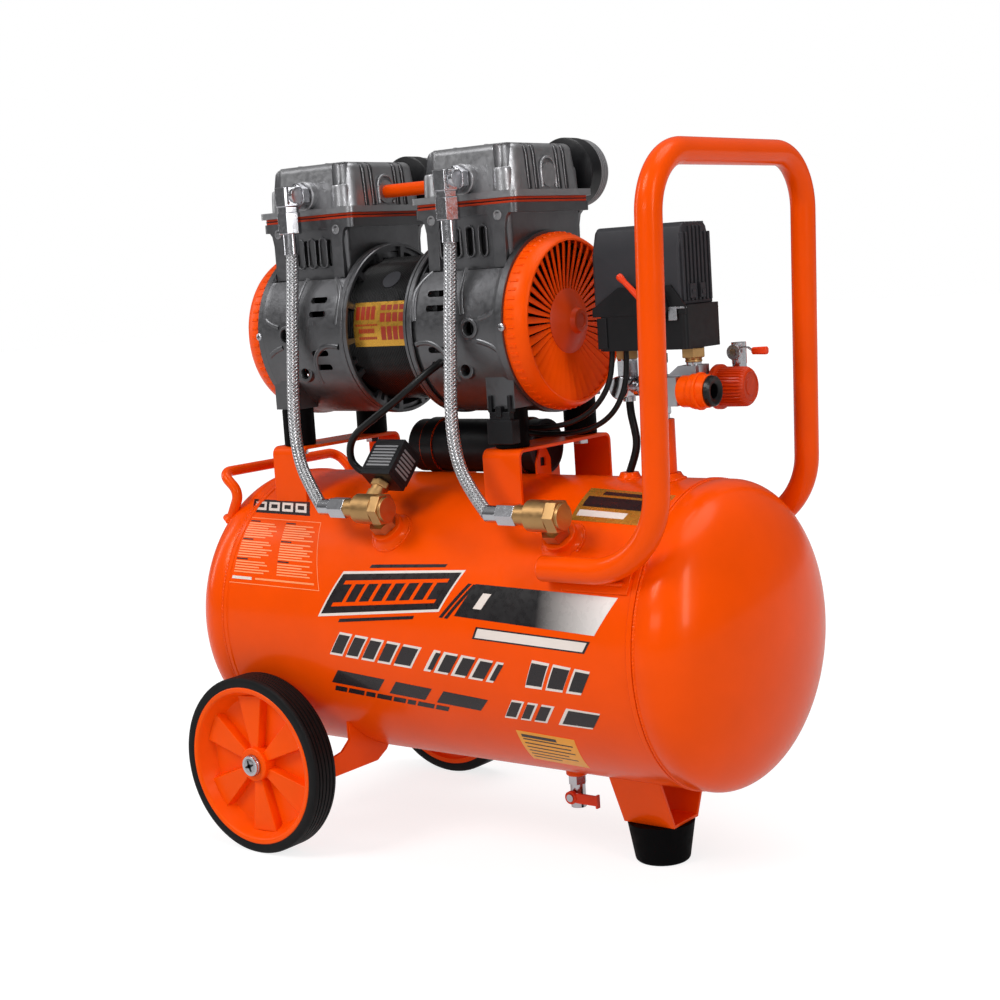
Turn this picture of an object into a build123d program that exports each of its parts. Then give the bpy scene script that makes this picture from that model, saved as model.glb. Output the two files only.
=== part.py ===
from build123d import *
import os
from math import cos, radians, sin, sqrt, tan

# Twin stack air compressor: a 30 litre horizontal tank on two wheels and one
# rubber foot, with a two-cylinder oil-free pump, a pressure switch and fittings.
# Millimetres, +Z up, +X towards the push handle, -Y the front of the machine.
# The origin is on the ground, below the middle of the tank.

# ---------------------------------------------------------------- driving sizes
TANK_R = 132.0          # outer radius of the tank
TANK_WALL = 2.0
TANK_Z = 207.6          # height of the tank's axis
SEAM_X = 229.3          # half length between the two welded seams
SKIRT = 12.7            # straight length of each head before its dome
DOME = 59.8             # depth of each dome
SEAM_BEAD = 0.9
TIP_ANGLE = 1.0         # each dome's curve stops this short of its tip, in degrees

WHEEL_R = 83.6
WHEEL_X = -183.9
WHEEL_FACE_Y = 158.3    # outer face of the wheels
TYRE_WIDTH = 28.5
RIM_R = 74.6
AXLE_R = 6.0
HUB_INNER_Y = 122.0     # inner end of each wheel hub, just outside its bracket's web
SPOKE_TURN = 24.0       # how far the first spoke stands from the horizontal, in degrees
RUNNING_FIT = 0.05

FOOT_X = 163.9
FOOT_TOP_R = 30.0
FOOT_BOTTOM_R = 24.0
FOOT_TOP_Z = 36.1

HANDLE_Y = 124.5
HANDLE_R = 10.8
HANDLE_RUN_Z = 281.6
HANDLE_TOP_Z = 606.9

PUMP_X = -61.0          # middle of the pump along X
PUMP_Z = 476.7          # height of the crankshaft
STACK_X = 93.3          # each cylinder's distance from the middle
CASE_R = 78.0
CASE_GAP = 37.5         # half the open gap between the crankcases
CASE_END = 144.0        # outer end of each crankcase from the middle
CASE_WALL = 4.5
BORE_R = 31.85
THROW = 8.5             # crank throw: half the stroke
SHAFT_R = 8.0
BLOCK_BASE_Z = 526.2
BLOCK_TOP_Z = 580.4
GASKET_TOP_Z = 585.4
HEAD_FLANGE_Z = 591.1
HEAD_TOP_Z = 631.6

BRIDGE_X = 127.0        # each pump bridge's distance from the pump's middle
BRIDGE_TOP_Z = 371.6
BRIDGE_Y = 70.5
BRIDGE_WIDTH = 40.0
SHEET = 3.0
MOUNT_Y = 52.0
MOUNT_R = 15.0
FOOT_LUG_Z = 406.6

VALVE_ANGLE = 46.0      # check valves lean this far from the vertical
VALVE_OUT = 168.0       # their distance from the tank's axis
VALVE_XS = (-43.2, 145.0)
HOSE_R = 5.9
HOSE_TOP_Z = 550.6

SWITCH_X = (141.3, 229.3)
SWITCH_BASE_Z = 450.6
SWITCH_SPLIT_Z = 486.6
SWITCH_TOP_Z = 553.6
RISER_X = 187.0
MANIFOLD_Z = 418.6
OUTLET_Y = 46.0
OUTLET_Z = 443.0        # hinge height of the small outlet valve's lever


# ---------------------------------------------------------------- small helpers
def rod(start, end, radius, inner=0.0):
    """A round bar, or a tube where inner is given, from start to end."""
    start, end = Vector(start), Vector(end)
    length = (end - start).length
    place = Plane(origin=start, z_dir=end - start)
    base = (Align.CENTER, Align.CENTER, Align.MIN)
    bar = Cylinder(radius, length, align=base)
    if inner:
        bar -= Cylinder(inner, length, align=base)
    return place * bar


def hexagon(start, end, across_flats):
    """A hexagonal bar from start to end, one flat facing up where it lies level."""
    start, end = Vector(start), Vector(end)
    side = Vector(1, 0, 0) if abs((end - start).normalized().X) < 0.9 else Vector(0, 1, 0)
    place = Plane(origin=start, x_dir=side, z_dir=end - start)
    return place * extrude(RegularPolygon(across_flats / 2, 6, major_radius=False), (end - start).length)


def block(x, y, z):
    """A box from three (low, high) pairs."""
    size = [high - low for low, high in (x, y, z)]
    centre = [(high + low) / 2 for low, high in (x, y, z)]
    return Pos(*centre) * Box(*size)


def plate_yz(points, x_low, thickness):
    """A flat plate across X whose outline is given in (y, z)."""
    outline = make_face(Polyline(*[(x_low, y, z) for y, z in points], close=True))
    return extrude(outline, thickness, dir=(1, 0, 0))


def plate_xz(points, y_low, thickness):
    """A flat plate across Y whose outline is given in (x, z)."""
    outline = make_face(Polyline(*[(x, y_low, z) for x, z in points], close=True))
    return extrude(outline, thickness, dir=(0, 1, 0))


def spun_x(points, x_shift=0.0, z_shift=0.0):
    """A solid turned about an axis along X, from (x, radius) points."""
    face = make_face(Polyline(*points, close=True))
    return Pos(x_shift, 0, z_shift) * revolve(face, Axis.X)


def swept(points, radii, radius, inner=0.0):
    """A round bar or tube along straight runs joined by arcs."""
    path = FilletPolyline(*points, radius=radii)
    start = Plane(origin=path @ 0, z_dir=path % 0)
    section = Circle(radius) - Circle(inner) if inner else Circle(radius)
    return sweep(start * section, path=path)


def cord(name, points, radius):
    """A flexible line whose arcs are as large as its runs allow; prints its radii."""
    knots = [Vector(p) for p in points]
    radii = []
    for before, here, after in zip(knots, knots[1:], knots[2:]):
        turn = radians((here - before).get_angle(after - here))
        shorter = min((here - before).length, (after - here).length)
        radii.append(0.45 * shorter / tan(turn / 2))
    path = FilletPolyline(*points, radius=radii)
    start = Plane(origin=path @ 0, z_dir=path % 0)
    solid = sweep(start * Circle(radius), path=path)
    expected = 3.14159265 * radius ** 2 * path.length
    print(f"{name}: {path.length:.0f} mm long, volume ratio {solid.volume / expected:.3f},",
          "radii", [round(r) for r in radii])
    save(name, solid)


def save(name, *solids):
    """Writes one node; several solids share a node where they are alike."""
    pieces = [piece for solid in solids for piece in solid.solids()]
    shape = pieces[0] if len(pieces) == 1 else Compound(children=pieces)
    export_step(shape, f"parts/{name}.step")


def both_ends(shape):
    """A shape on the right half of the pump and its mirror image on the left."""
    return shape, mirror(shape, Plane.YZ.offset(PUMP_X))


def both_stacks(shape):
    """A shape on the right stack and the same shape, not mirrored, on the left one."""
    return shape, Pos(-2 * STACK_X, 0, 0) * shape


# ---------------------------------------------------------------- tank
def dome_half(inset=0.0):
    """Half a dome's section in (x, radius): its curve, then a small flat at its tip."""
    knee, depth, radius = SEAM_X + SKIRT, DOME - inset, TANK_R - inset
    curve = EllipticalCenterArc((knee, 0), depth, radius, start_angle=TIP_ANGLE,
                                arc_size=90 - TIP_ANGLE)
    tip = curve @ 0
    return curve, Line((tip.X, tip.Y), (tip.X, 0))


def tank_solid():
    """The tank's whole outline as one solid."""
    knee = SEAM_X + SKIRT
    curve, flat = dome_half()
    face = make_face([curve, flat, Line(flat @ 1, (0, 0)), Line((0, 0), (0, TANK_R)),
                      Line((0, TANK_R), (knee, TANK_R))])
    right = Pos(0, 0, TANK_Z) * revolve(face, Axis.X)
    return right + mirror(right, Plane.YZ)


def head_shell():
    """The right-hand dished head: a straight skirt and a dome of one thickness."""
    knee, inner = SEAM_X + SKIRT, TANK_R - TANK_WALL
    outer_curve, outer_flat = dome_half()
    inner_curve, inner_flat = dome_half(TANK_WALL)
    face = make_face([
        outer_curve, outer_flat, Line(outer_flat @ 1, inner_flat @ 1), inner_flat, inner_curve,
        Line((knee, inner), (SEAM_X, inner)), Line((SEAM_X, inner), (SEAM_X, TANK_R)),
        Line((SEAM_X, TANK_R), (knee, TANK_R)),
    ])
    return Pos(0, 0, TANK_Z) * revolve(face, Axis.X)


def radial(x, angle, out):
    """A point at a distance from the tank's axis, leaning towards the front."""
    return (x, -out * sin(radians(angle)), TANK_Z + out * cos(radians(angle)))


PORTS = {               # x, lean from the vertical, boss radius, boss height, bore
    "left check valve": (VALVE_XS[0], VALVE_ANGLE, 15.0, 10.0, 9.0),
    "right check valve": (VALVE_XS[1], VALVE_ANGLE, 15.0, 10.0, 9.0),
    "riser": (RISER_X, 0.0, 14.0, 5.0, 8.0),
    "unloader": (151.0, 0.0, 8.0, 5.0, 4.0),
    "drain": (75.6, 180.0, 10.0, 10.0, 6.0),
}


def make_tank(envelope):
    drills = [rod(radial(x, lean, TANK_R - 8), radial(x, lean, TANK_R + 20), bore)
              for x, lean, _, _, bore in PORTS.values()]
    inner = TANK_R - TANK_WALL
    barrel = spun_x([(-SEAM_X, inner), (-SEAM_X, TANK_R + SEAM_BEAD), (5 - SEAM_X, TANK_R + SEAM_BEAD),
                     (5 - SEAM_X, TANK_R), (SEAM_X - 5, TANK_R), (SEAM_X - 5, TANK_R + SEAM_BEAD),
                     (SEAM_X, TANK_R + SEAM_BEAD), (SEAM_X, inner)], 0, TANK_Z)
    save("tank_barrel", barrel - drills)
    save("tank_head_right", head_shell())
    save("tank_head_left", mirror(head_shell(), Plane.YZ))
    bosses = []
    for x, lean, radius, height_out, bore in PORTS.values():
        boss = rod(radial(x, lean, TANK_R - 12), radial(x, lean, TANK_R + height_out), radius)
        bosses.append(boss - rod(radial(x, lean, TANK_R - 14),
                                 radial(x, lean, TANK_R + height_out), bore) - envelope)
    pads = []
    for low, high in ((-140, -100), (100, 140)):
        ring = rod((158, 0, TANK_Z), (222, 0, TANK_Z), TANK_R + 2.0, TANK_R)
        pads.append(ring & block((150, 230), (low, high), (264, 293)))
    save("tank_weldments", *bosses, *pads)


# ---------------------------------------------------------------- frame and handles
def make_frame(envelope):
    lean = 9.8          # how far the legs lean towards +X over their height
    leg_x = 254.6
    run_x = 144.3
    bend_low, bend_high = 66.0, 48.0
    side = [(run_x, HANDLE_RUN_Z), (leg_x, HANDLE_RUN_Z), (leg_x + lean, HANDLE_TOP_Z)]
    points = [(x, -HANDLE_Y, z) for x, z in side] + [(x, HANDLE_Y, z) for x, z in reversed(side)]
    save("push_handle", swept(points, [bend_low, bend_high, bend_high, bend_low],
                              HANDLE_R, HANDLE_R - 1.6))

    rod_r = 5.0
    loop = [(-264, 80, 298), (-246, 82, 328), (-268, 82, 347)]
    points = [(x, -y, z) for x, y, z in loop] + list(reversed(loop))
    save("lift_handle", swept(points, 12.0, rod_r) - envelope)

    bridges = []
    for side in (-1, 1):
        x = PUMP_X + side * BRIDGE_X
        span = (x - BRIDGE_WIDTH / 2, x + BRIDGE_WIDTH / 2)
        outer = block(span, (-BRIDGE_Y, BRIDGE_Y), (300, BRIDGE_TOP_Z))
        top_edges = outer.faces().sort_by(Axis.Z)[-1].edges().filter_by(Axis.X)
        outer = fillet(top_edges, 8.0)
        inner = block((span[0] - 1, span[1] + 1), (-BRIDGE_Y + SHEET, BRIDGE_Y - SHEET),
                      (299, BRIDGE_TOP_Z - SHEET))
        inner = fillet(inner.faces().sort_by(Axis.Z)[-1].edges().filter_by(Axis.X), 5.0)
        holes = [rod((x, y, 360), (x, y, 380), 4.05) for y in (-MOUNT_Y, MOUNT_Y)]
        bridges.append(outer - inner - envelope - holes)
    save("pump_bridges", *bridges)

    make_wheel_bracket(envelope)

    half = 26.0
    top_y, base_y, top_z = 42.0, 20.0, 86.0
    outside = [(-top_y, top_z), (-base_y, FOOT_TOP_Z), (base_y, FOOT_TOP_Z), (top_y, top_z)]
    inside = [(-top_y + 3.4, top_z + 1), (-base_y + 2.2, FOOT_TOP_Z + SHEET),
              (base_y - 2.2, FOOT_TOP_Z + SHEET), (top_y - 3.4, top_z + 1)]
    bracket = plate_yz(outside, FOOT_X - half, 2 * half) - plate_yz(inside, FOOT_X - half - 1, 2 * half + 2)
    screw_hole = rod((FOOT_X, 0, 30), (FOOT_X, 0, 50), 4.05)
    save("foot_bracket", bracket - envelope - screw_hole)
    foot = Pos(FOOT_X, 0, 0) * Cone(FOOT_BOTTOM_R, FOOT_TOP_R, FOOT_TOP_Z,
                                    align=(Align.CENTER, Align.CENTER, Align.MIN))
    foot = fillet(foot.edges().sort_by(Axis.Z)[0], 4.0)
    foot -= rod((FOOT_X, 0, -1), (FOOT_X, 0, 14), 8.0)
    foot -= rod((FOOT_X, 0, 10), (FOOT_X, 0, 40), 4.0)
    save("rubber_foot", foot)


def make_wheel_bracket(envelope):
    """A folded sheet under the left end: a web behind each wheel and two wings to the tank."""
    low, high = -256.7, -110.7
    web_z = (72.6, 91.0)
    web_y = 121.0
    solids = []
    for sign in (-1, 1):
        wing = [(web_y, web_z[0]), (62, web_z[0]), (48, 80), (40, 90), (40, 130), (98, 130),
                (98, 101.6), (109, 93), (web_y, web_z[1])]
        wing = [(sign * y, z) for y, z in wing]
        web = block((low, high), sorted((sign * (web_y - SHEET), sign * web_y)), web_z)
        bracket = web + plate_yz(wing, low, SHEET) + plate_yz(wing, high - SHEET, SHEET)
        bore = rod((WHEEL_X, sign * 100, WHEEL_R), (WHEEL_X, sign * 130, WHEEL_R), AXLE_R)
        solids.append(bracket - bore - envelope)
    save("wheel_brackets", *solids)


def make_wheels():
    inner_y = WHEEL_FACE_Y - TYRE_WIDTH
    bolts = []
    for name, sign in (("front", -1), ("rear", 1)):
        def at(y, x=WHEEL_X, z=WHEEL_R):
            return (x, sign * y, z)
        tyre = rod(at(inner_y), at(WHEEL_FACE_Y), WHEEL_R, RIM_R)
        tyre = fillet(tyre.edges().filter_by(GeomType.CIRCLE).group_by(SortBy.RADIUS)[-1], 3.0)
        grooves = [rod(at(inner_y + 6.5 + 5.2 * i), at(inner_y + 8.0 + 5.2 * i), WHEEL_R + 1,
                       WHEEL_R - 1.4) for i in range(3)]
        save(f"tyre_{name}", tyre - grooves)
        hoop = rod(at(inner_y + 0.5), at(WHEEL_FACE_Y - 0.5), RIM_R, RIM_R - 9.0)
        disc = rod(at(WHEEL_FACE_Y - 21), at(WHEEL_FACE_Y - 18), RIM_R - 8)
        spokes = [Plane(origin=at(WHEEL_FACE_Y - 19), z_dir=(0, sign, 0), x_dir=(1, 0, 0))
                  * (Rot(0, 0, 60 * i + SPOKE_TURN) * wheel_spoke()) for i in range(6)]
        hub = rod(at(HUB_INNER_Y), at(WHEEL_FACE_Y - 4.5), 16.0)
        rim = hoop + disc + spokes + hub - rod(at(100), at(160), AXLE_R + RUNNING_FIT)
        save(f"rim_{name}", rim)
        bolt = rod(at(105), at(WHEEL_FACE_Y - 4.2), AXLE_R)
        head = rod(at(WHEEL_FACE_Y - 4.2), at(WHEEL_FACE_Y + 0.0), 9.5)
        nut = hexagon(at(109), at(117.9), 17.0) - rod(at(105), at(120), AXLE_R)
        bolts += [bolt + head, nut]
    return bolts


def wheel_spoke():
    """One of the six raised spokes, wider towards the rim; the dish behind them is closed."""
    near, far, half_near, half_far = 12.0, RIM_R - 8.0, 4.5, 14.0
    shape = Polyline((near, -half_near), (far, -half_far), (far, half_far), (near, half_near), close=True)
    return extrude(make_face(shape), 10)


# ---------------------------------------------------------------- pump
def make_pump():
    web_in, web_out = 58.0, 65.0
    rim_r = CASE_R - 2.0
    outline = [(CASE_GAP, 72.0), (CASE_GAP, rim_r), (46, rim_r), (50, CASE_R), (132, CASE_R),
               (136, CASE_R + 1.5), (CASE_END, CASE_R + 1.5), (CASE_END, CASE_R - 3.5),
               (web_out, CASE_R - CASE_WALL), (web_out, 22), (72, 20), (72, SHAFT_R + RUNNING_FIT),
               (web_in, SHAFT_R + RUNNING_FIT), (web_in, CASE_R - CASE_WALL - 1), (46, 72.0)]
    case = spun_x(outline, PUMP_X, PUMP_Z)
    for i in range(8):
        rib = block((PUMP_X + CASE_GAP, PUMP_X + 45), (-2, 2), (PUMP_Z + 66.0, PUMP_Z + 73))
        case += rib.rotate(Axis((0, 0, PUMP_Z), (1, 0, 0)), 45 * i + 22.5)
    stack = PUMP_X + STACK_X
    case -= block((stack - 47.2, stack + 47.2), (-80, 80), (BLOCK_BASE_Z, PUMP_Z + 100))
    lug_x = PUMP_X + BRIDGE_X
    for y in (-MOUNT_Y, MOUNT_Y):
        lug = block((lug_x - 15, lug_x + 15), (y - 13, y + 13), (FOOT_LUG_Z, PUMP_Z - 35))
        lug -= rod((lug_x - 20, 0, PUMP_Z), (lug_x + 20, 0, PUMP_Z), CASE_R - CASE_WALL + 1)
        case = case + lug - rod((lug_x, y, FOOT_LUG_Z - 1), (lug_x, y, FOOT_LUG_Z + 10), 4.05)
    for z in (31, 18.5, -17.5, -30.5):
        y = -sqrt(CASE_R ** 2 - z ** 2)
        near, far = stack - 31, stack - 16
        slot = block((near, far), (y - 4, y + 9), (PUMP_Z + z - 2.7, PUMP_Z + z + 2.7))
        for x in (near, far):
            slot += rod((x, y - 4, PUMP_Z + z), (x, y + 9, PUMP_Z + z), 2.7)
        case -= slot
    for x, z, radius in ((stack + 15, 0, 6.0), (stack + 2, -36, 5.0)):
        case -= rod((x, -CASE_R - 5, PUMP_Z + z), (x, -CASE_R + 22, PUMP_Z + z), radius)
    right, left = both_ends(case)
    save("crankcase_right", right)
    save("crankcase_left", left)

    make_stack_parts(stack)
    make_motor()
    make_covers()


def make_stack_parts(stack):
    """Cylinder block, gasket, head and bolts of the right stack, mirrored to the left."""
    wall = 4.0
    half_x, half_y, taper = 47.0, 55.0, 2.5
    deck_z = BLOCK_TOP_Z - 8.0
    base = Plane((stack, 0, BLOCK_BASE_Z)) * Rectangle(2 * (half_x - taper), 2 * (half_y - taper))
    top = Plane((stack, 0, deck_z)) * Rectangle(2 * half_x, 2 * half_y)
    body = loft([base, top])
    body = fillet(body.edges().filter_by(lambda e: abs(e.tangent_at(0.5).Z) > 0.9), 7.0)
    body -= block((stack - half_x + wall + 1, stack + half_x - wall - 1),
                  (-half_y + wall + 1, half_y - wall - 1), (BLOCK_BASE_Z - 1, deck_z - 4))
    flange = block((stack - 56, stack + 56), (-56.5, 56.5), (deck_z, BLOCK_TOP_Z))
    flange = fillet(flange.edges().filter_by(Axis.Z), 6.0)
    liner = rod((stack, 0, BLOCK_BASE_Z), (stack, 0, deck_z), BORE_R + 4.5)
    body = body + flange + liner
    body -= rod((stack, 0, BLOCK_BASE_Z - 1), (stack, 0, BLOCK_TOP_Z + 1), BORE_R)
    for x in (-25.2, -10.8, 3.6, 18.0):
        for y in (-half_y, half_y):
            low, high = 541.4, 559.6
            slot = block((stack + x - 3.2, stack + x + 3.2), (y - 8, y + 8), (low, high))
            for z in (low, high):
                slot += rod((stack + x, y - 8, z), (stack + x, y + 8, z), 3.2)
            body -= slot
    bolt_spots = [(stack + sx * 38.0, sy * 46.0) for sx in (-1, 1) for sy in (-1, 1)]
    drills = [rod((x, y, deck_z - 9), (x, y, HEAD_TOP_Z), 4.05) for x, y in bolt_spots]
    right, left = both_ends(body - drills)
    save("cylinder_right", right)
    save("cylinder_left", left)

    gasket = block((stack - 55, stack + 55), (-55.5, 55.5), (BLOCK_TOP_Z, GASKET_TOP_Z))
    gasket = fillet(gasket.edges().filter_by(Axis.Z), 6.0)
    for sign in (-1, 1):
        gasket -= rod((stack + 14 * sign, 0, BLOCK_TOP_Z - 1), (stack + 14 * sign, 0, GASKET_TOP_Z + 1), 6)
    save("head_gaskets", *both_ends(gasket - drills))

    save("head_right", make_head(stack, bolt_spots) - drills)
    twin = [(x - 2 * STACK_X, y) for x, y in bolt_spots]
    save("head_left", make_head(stack - 2 * STACK_X, twin) - both_stacks(Compound(drills))[1])
    bolts = []
    for x, y in bolt_spots:
        bolt = rod((x, y, deck_z - 6), (x, y, 596), 4.0) + rod((x, y, 596), (x, y, 604), 6.0)
        bolt -= hexagon((x, y, 600), (x, y, 605), 5.0)
        bolts += both_ends(bolt)
    save("head_bolts", *bolts)

    pipe_y, pipe_z, pipe_r = 0.0, 603.6, 6.2
    inner = PUMP_X + STACK_X - 49.0
    save("crossover_pipe", rod((2 * PUMP_X - inner, pipe_y, pipe_z), (inner, pipe_y, pipe_z),
                               pipe_r, 4.6))
    make_filters(stack)
    make_piston(stack)


def make_head(stack, bolt_spots):
    """A finned head: flange, tapered body, corner pockets, port bosses and two chambers."""
    flange = block((stack - 58.2, stack + 58.2), (-58.5, 58.5), (GASKET_TOP_Z, HEAD_FLANGE_Z))
    flange = fillet(flange.edges().filter_by(Axis.Z), 6.0)
    base = Plane((stack, 0, HEAD_FLANGE_Z)) * RectangleRounded(104, 108, 15)
    top = Plane((stack, 0, HEAD_TOP_Z)) * RectangleRounded(96, 100, 15)
    body = loft([base, top])
    body = fillet(body.faces().sort_by(Axis.Z)[-1].edges(), 7.0)
    for x, y in bolt_spots:
        body -= rod((x, y, HEAD_FLANGE_Z + 4.9), (x, y, HEAD_TOP_Z + 1), 7.6)
    for side in (-1, 1):
        for y in (-27.5, -17.0, 17.0, 27.5):
            body -= block(sorted((stack + side * 42, stack + side * 60)), (y - 3.2, y + 3.2),
                          (HEAD_FLANGE_Z, HEAD_TOP_Z + 1))
        boss_end = stack + side * 53
        body += rod((stack + side * 40, 0, 603.6), (boss_end, 0, 603.6), 10.5)
    body += rod((stack + 2, -40, 603.6), (stack + 2, -60, 603.6), 13.0)
    head = body + flange
    for low, high in ((-38, -3), (3, 38)):
        head -= block((stack + low, stack + high), (-36, 36), (GASKET_TOP_Z - 1, 615))
    towards = -1 if stack > PUMP_X else 1
    head -= rod((stack + towards * 37, 0, 603.6), (stack + towards * 54, 0, 603.6), 6.25)
    head -= rod((stack + 24, 35, 607.6), (stack + 24, 60, 607.6), 9.05)
    return head - rod((stack + 2, -35, 603.6), (stack + 2, -61, 603.6), 5.0)


def make_filters(stack):
    """Intake filters behind the heads: a spigot, a black ring and a ribbed cap."""
    x, z = stack + 24.0, 607.6
    ring = rod((x, 48, z), (x, 63, z), 9.0) + rod((x, 63, z), (x, 79, z), 31.4)
    ring -= rod((x, 47, z), (x, 80, z), 5.5)
    ring -= rod((x, 66, z), (x, 80, z), 26.0)
    cap = rod((x, 79, z), (x, 97, z), 30.4)
    cap = fillet(cap.edges().filter_by(GeomType.CIRCLE).sort_by(Axis.Y)[-1], 8.0)
    cap -= rod((x, 78, z), (x, 92, z), 26.0)
    for i in range(12):
        groove = block((x - 1.2, x + 1.2), (84, 99), (z + 29.2, z + 33))
        cap -= groove.rotate(Axis((x, 0, z), (0, 1, 0)), 30 * i)
    save("air_filter_bases", *both_stacks(ring))
    save("air_filter_caps", *both_stacks(cap))


def make_piston(stack):
    """A one-piece rod and piston; its big end has room for the whole crank circle."""
    top = BLOCK_TOP_Z - 1.0
    ring_z = PUMP_Z + THROW
    ring_in = THROW + 15.0 + THROW + 0.6
    ring_out = ring_in + 5.0
    piston = rod((stack, 0, top - 10), (stack, 0, top), BORE_R - 0.3)
    shank = block((stack - 5, stack + 5), (-8, 8), (ring_z + ring_in + 1, top - 9))
    ring = rod((stack - 6, 0, ring_z), (stack + 6, 0, ring_z), ring_out, ring_in)
    right, left = both_ends(piston + shank + ring)
    save("piston_right", right)
    save("piston_left", left)


def make_motor():
    mid, z = PUMP_X, PUMP_Z
    stator = rod((mid - 44, 0, z), (mid + 44, 0, z), 66.0, 38.6)
    for side in (-1, 1):
        stator += rod((mid + side * 44, 0, z), (mid + side * 54, 0, z), 48.0, 42.0)
    save("stator", stator)
    shaft = rod((mid - 140, 0, z), (mid + 140, 0, z), SHAFT_R)
    core = rod((mid - 30, 0, z), (mid + 30, 0, z), 38.0)
    rotor = shaft + core
    for side in (-1, 1):
        x = mid + side * STACK_X
        rotor += rod((x - 5.5, 0, z + THROW), (x + 5.5, 0, z + THROW), 15.0)
    save("rotor", rotor)
    x = mid + 124.0
    fan = rod((x - 8, 0, z), (x + 12, 0, z), 14.0) + rod((x - 1, 0, z), (x + 1.2, 0, z), 47.0)
    for i in range(10):
        blade = block((x, x + 12), (-1.2, 1.2), (z + 12, z + 48))
        fan += blade.rotate(Axis((0, 0, z), (1, 0, 0)), 36 * i)
    fan -= rod((x - 10, 0, z), (x + 20, 0, z), SHAFT_R)
    save("cooling_fans", *both_ends(fan))


def make_covers():
    """Fan covers: a tapered rim, forty-five vanes and a raised hub."""
    skin = 2.4
    outer = [(CASE_END, 76.9), (151.8, 76.9), (161, 74.0), (164.6, 71.0), (164.8, 67.5),
             (158.2, 27.0), (162.5, 19.0), (166, 11.5), (170.6, 10.0), (170.6, 0)]
    inner = [(168.2, 0), (168.2, 8), (164, 10), (160, 18.0), (155.6, 26.0), (161.6, 66.5),
             (159, 71.5), (151, 76.9 - skin), (CASE_END, 76.9 - skin)]
    cover = spun_x(outer + inner, PUMP_X, PUMP_Z)
    vanes = 45
    half_angle = radians(360 / vanes * 0.23)
    wedge = Polyline(*[(r * cos(a), r * sin(a)) for r, a in
                       ((30, -half_angle * 1.2), (66.5, -half_angle), (66.5, half_angle),
                        (30, half_angle * 1.2))], close=True)
    place = Plane(origin=(PUMP_X + 150, 0, PUMP_Z), x_dir=(0, 1, 0), z_dir=(1, 0, 0))
    slots = [place * (Rot(0, 0, 360 / vanes * i) * extrude(make_face(wedge), 20))
             for i in range(vanes)]
    right, left = both_ends(cover - slots)
    save("fan_cover_right", right)
    save("fan_cover_left", left)


# ---------------------------------------------------------------- valves and hoses
def make_valves():
    caps = []
    for name, x in (("left", VALVE_XS[0]), ("right", VALVE_XS[1])):
        def at(dx, out=VALVE_OUT):
            return radial(x + dx, VALVE_ANGLE, out)
        stem = rod(at(0, TANK_R - 3), at(0, TANK_R + 12), 8.9)
        collar = hexagon(at(0, TANK_R + 11), at(0, TANK_R + 20), 21.0)
        body = rod(at(-13), at(8), 13.2) + rod(at(-26), at(-10), 8.5)
        body = body + stem + collar + rod(at(0, TANK_R + 20), at(0, VALVE_OUT - 5), 7.9)
        if name == "left":
            body += rod(at(-2), tangent(x - 2, 17.0), 8.0)
        body -= rod(at(-27), at(9), 5.5)
        save(f"check_valve_{name}", body)
        cap = hexagon(at(8), at(18), 25.0) + rod(at(18), at(20.5), 11.0) + rod(at(0), at(9), 5.4)
        caps.append(cap)
    save("check_valve_caps", *caps)

    x = VALVE_XS[0] - 2
    save("solenoid_stem", rod(tangent(x, 17.0), tangent(x, 29.0), 6.6)
         + hexagon(tangent(x, 22.0), tangent(x, 28.0), 15.0))
    plane = Plane(origin=tangent(x, 29.0), x_dir=(1, 0, 0), z_dir=tangent_direction())
    coil = plane * (Pos(0, 0, 19) * Box(34, 27, 38))
    coil = fillet(coil.edges(), 2.5)
    save("solenoid_coil", coil + rod(tangent(x, 66), tangent(x, 71), 5.5))


def tangent_direction():
    """Up and backwards along the tank, square to the check valves' lean."""
    return Vector(0, cos(radians(VALVE_ANGLE)), sin(radians(VALVE_ANGLE)))


def tangent(x, distance):
    """A point away from a check valve's centre along the tangent direction."""
    return Vector(*radial(x, VALVE_ANGLE, VALVE_OUT)) + tangent_direction() * distance


HOSE_BEND = [           # from the top ferrule down to the check valve, about the right stack
    (2, -80, 550.6), (2, -82.5, 522), (2, -87, 490), (2, -90, 455), (1, -93, 417),
    (4, -97, 384), (15, -104, 358), (38, -114, 336)]


def hose_route(stack_x, valve_x):
    """A hose's route: plumb down past the crankcase, then forward to its check valve."""
    end = radial(valve_x - 58, VALVE_ANGLE, VALVE_OUT)
    route = [(stack_x + x, y, z) for x, y, z in HOSE_BEND]
    return route + [end]


def make_hoses():
    fittings = []
    for name, sign, valve_x in (("left", -1, VALVE_XS[0]), ("right", 1, VALVE_XS[1])):
        stack_x = PUMP_X + sign * STACK_X
        cord(f"hose_{name}", hose_route(stack_x, valve_x), HOSE_R)
        top = Vector(stack_x + 2, -80, 603.6)

        def below(z):
            return (top.X, top.Y, z)

        def at(dx):
            return radial(valve_x + dx, VALVE_ANGLE, VALVE_OUT)
        elbow = hexagon((top.X, -60, top.Z), (top.X, -71, top.Z), 17.0)
        elbow += block((top.X - 8, top.X + 8), (-88, -71), (top.Z - 8, top.Z + 8))
        elbow += rod((top.X + 8, -80, top.Z), (top.X + 12, -80, top.Z), 7.2)
        elbow += rod(below(593.6), below(top.Z), 6.2)
        nut = hexagon(below(575.6), below(593.6), 17.0)
        upper = nut + rod(below(575.6), below(HOSE_TOP_Z), 7.3)
        low_nut = hexagon(at(-44), at(-26), 17.0)
        lower = low_nut + rod(at(-44), at(-58), 7.3)
        fittings += [elbow, upper, lower]
    save("hose_fittings", *fittings)


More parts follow.
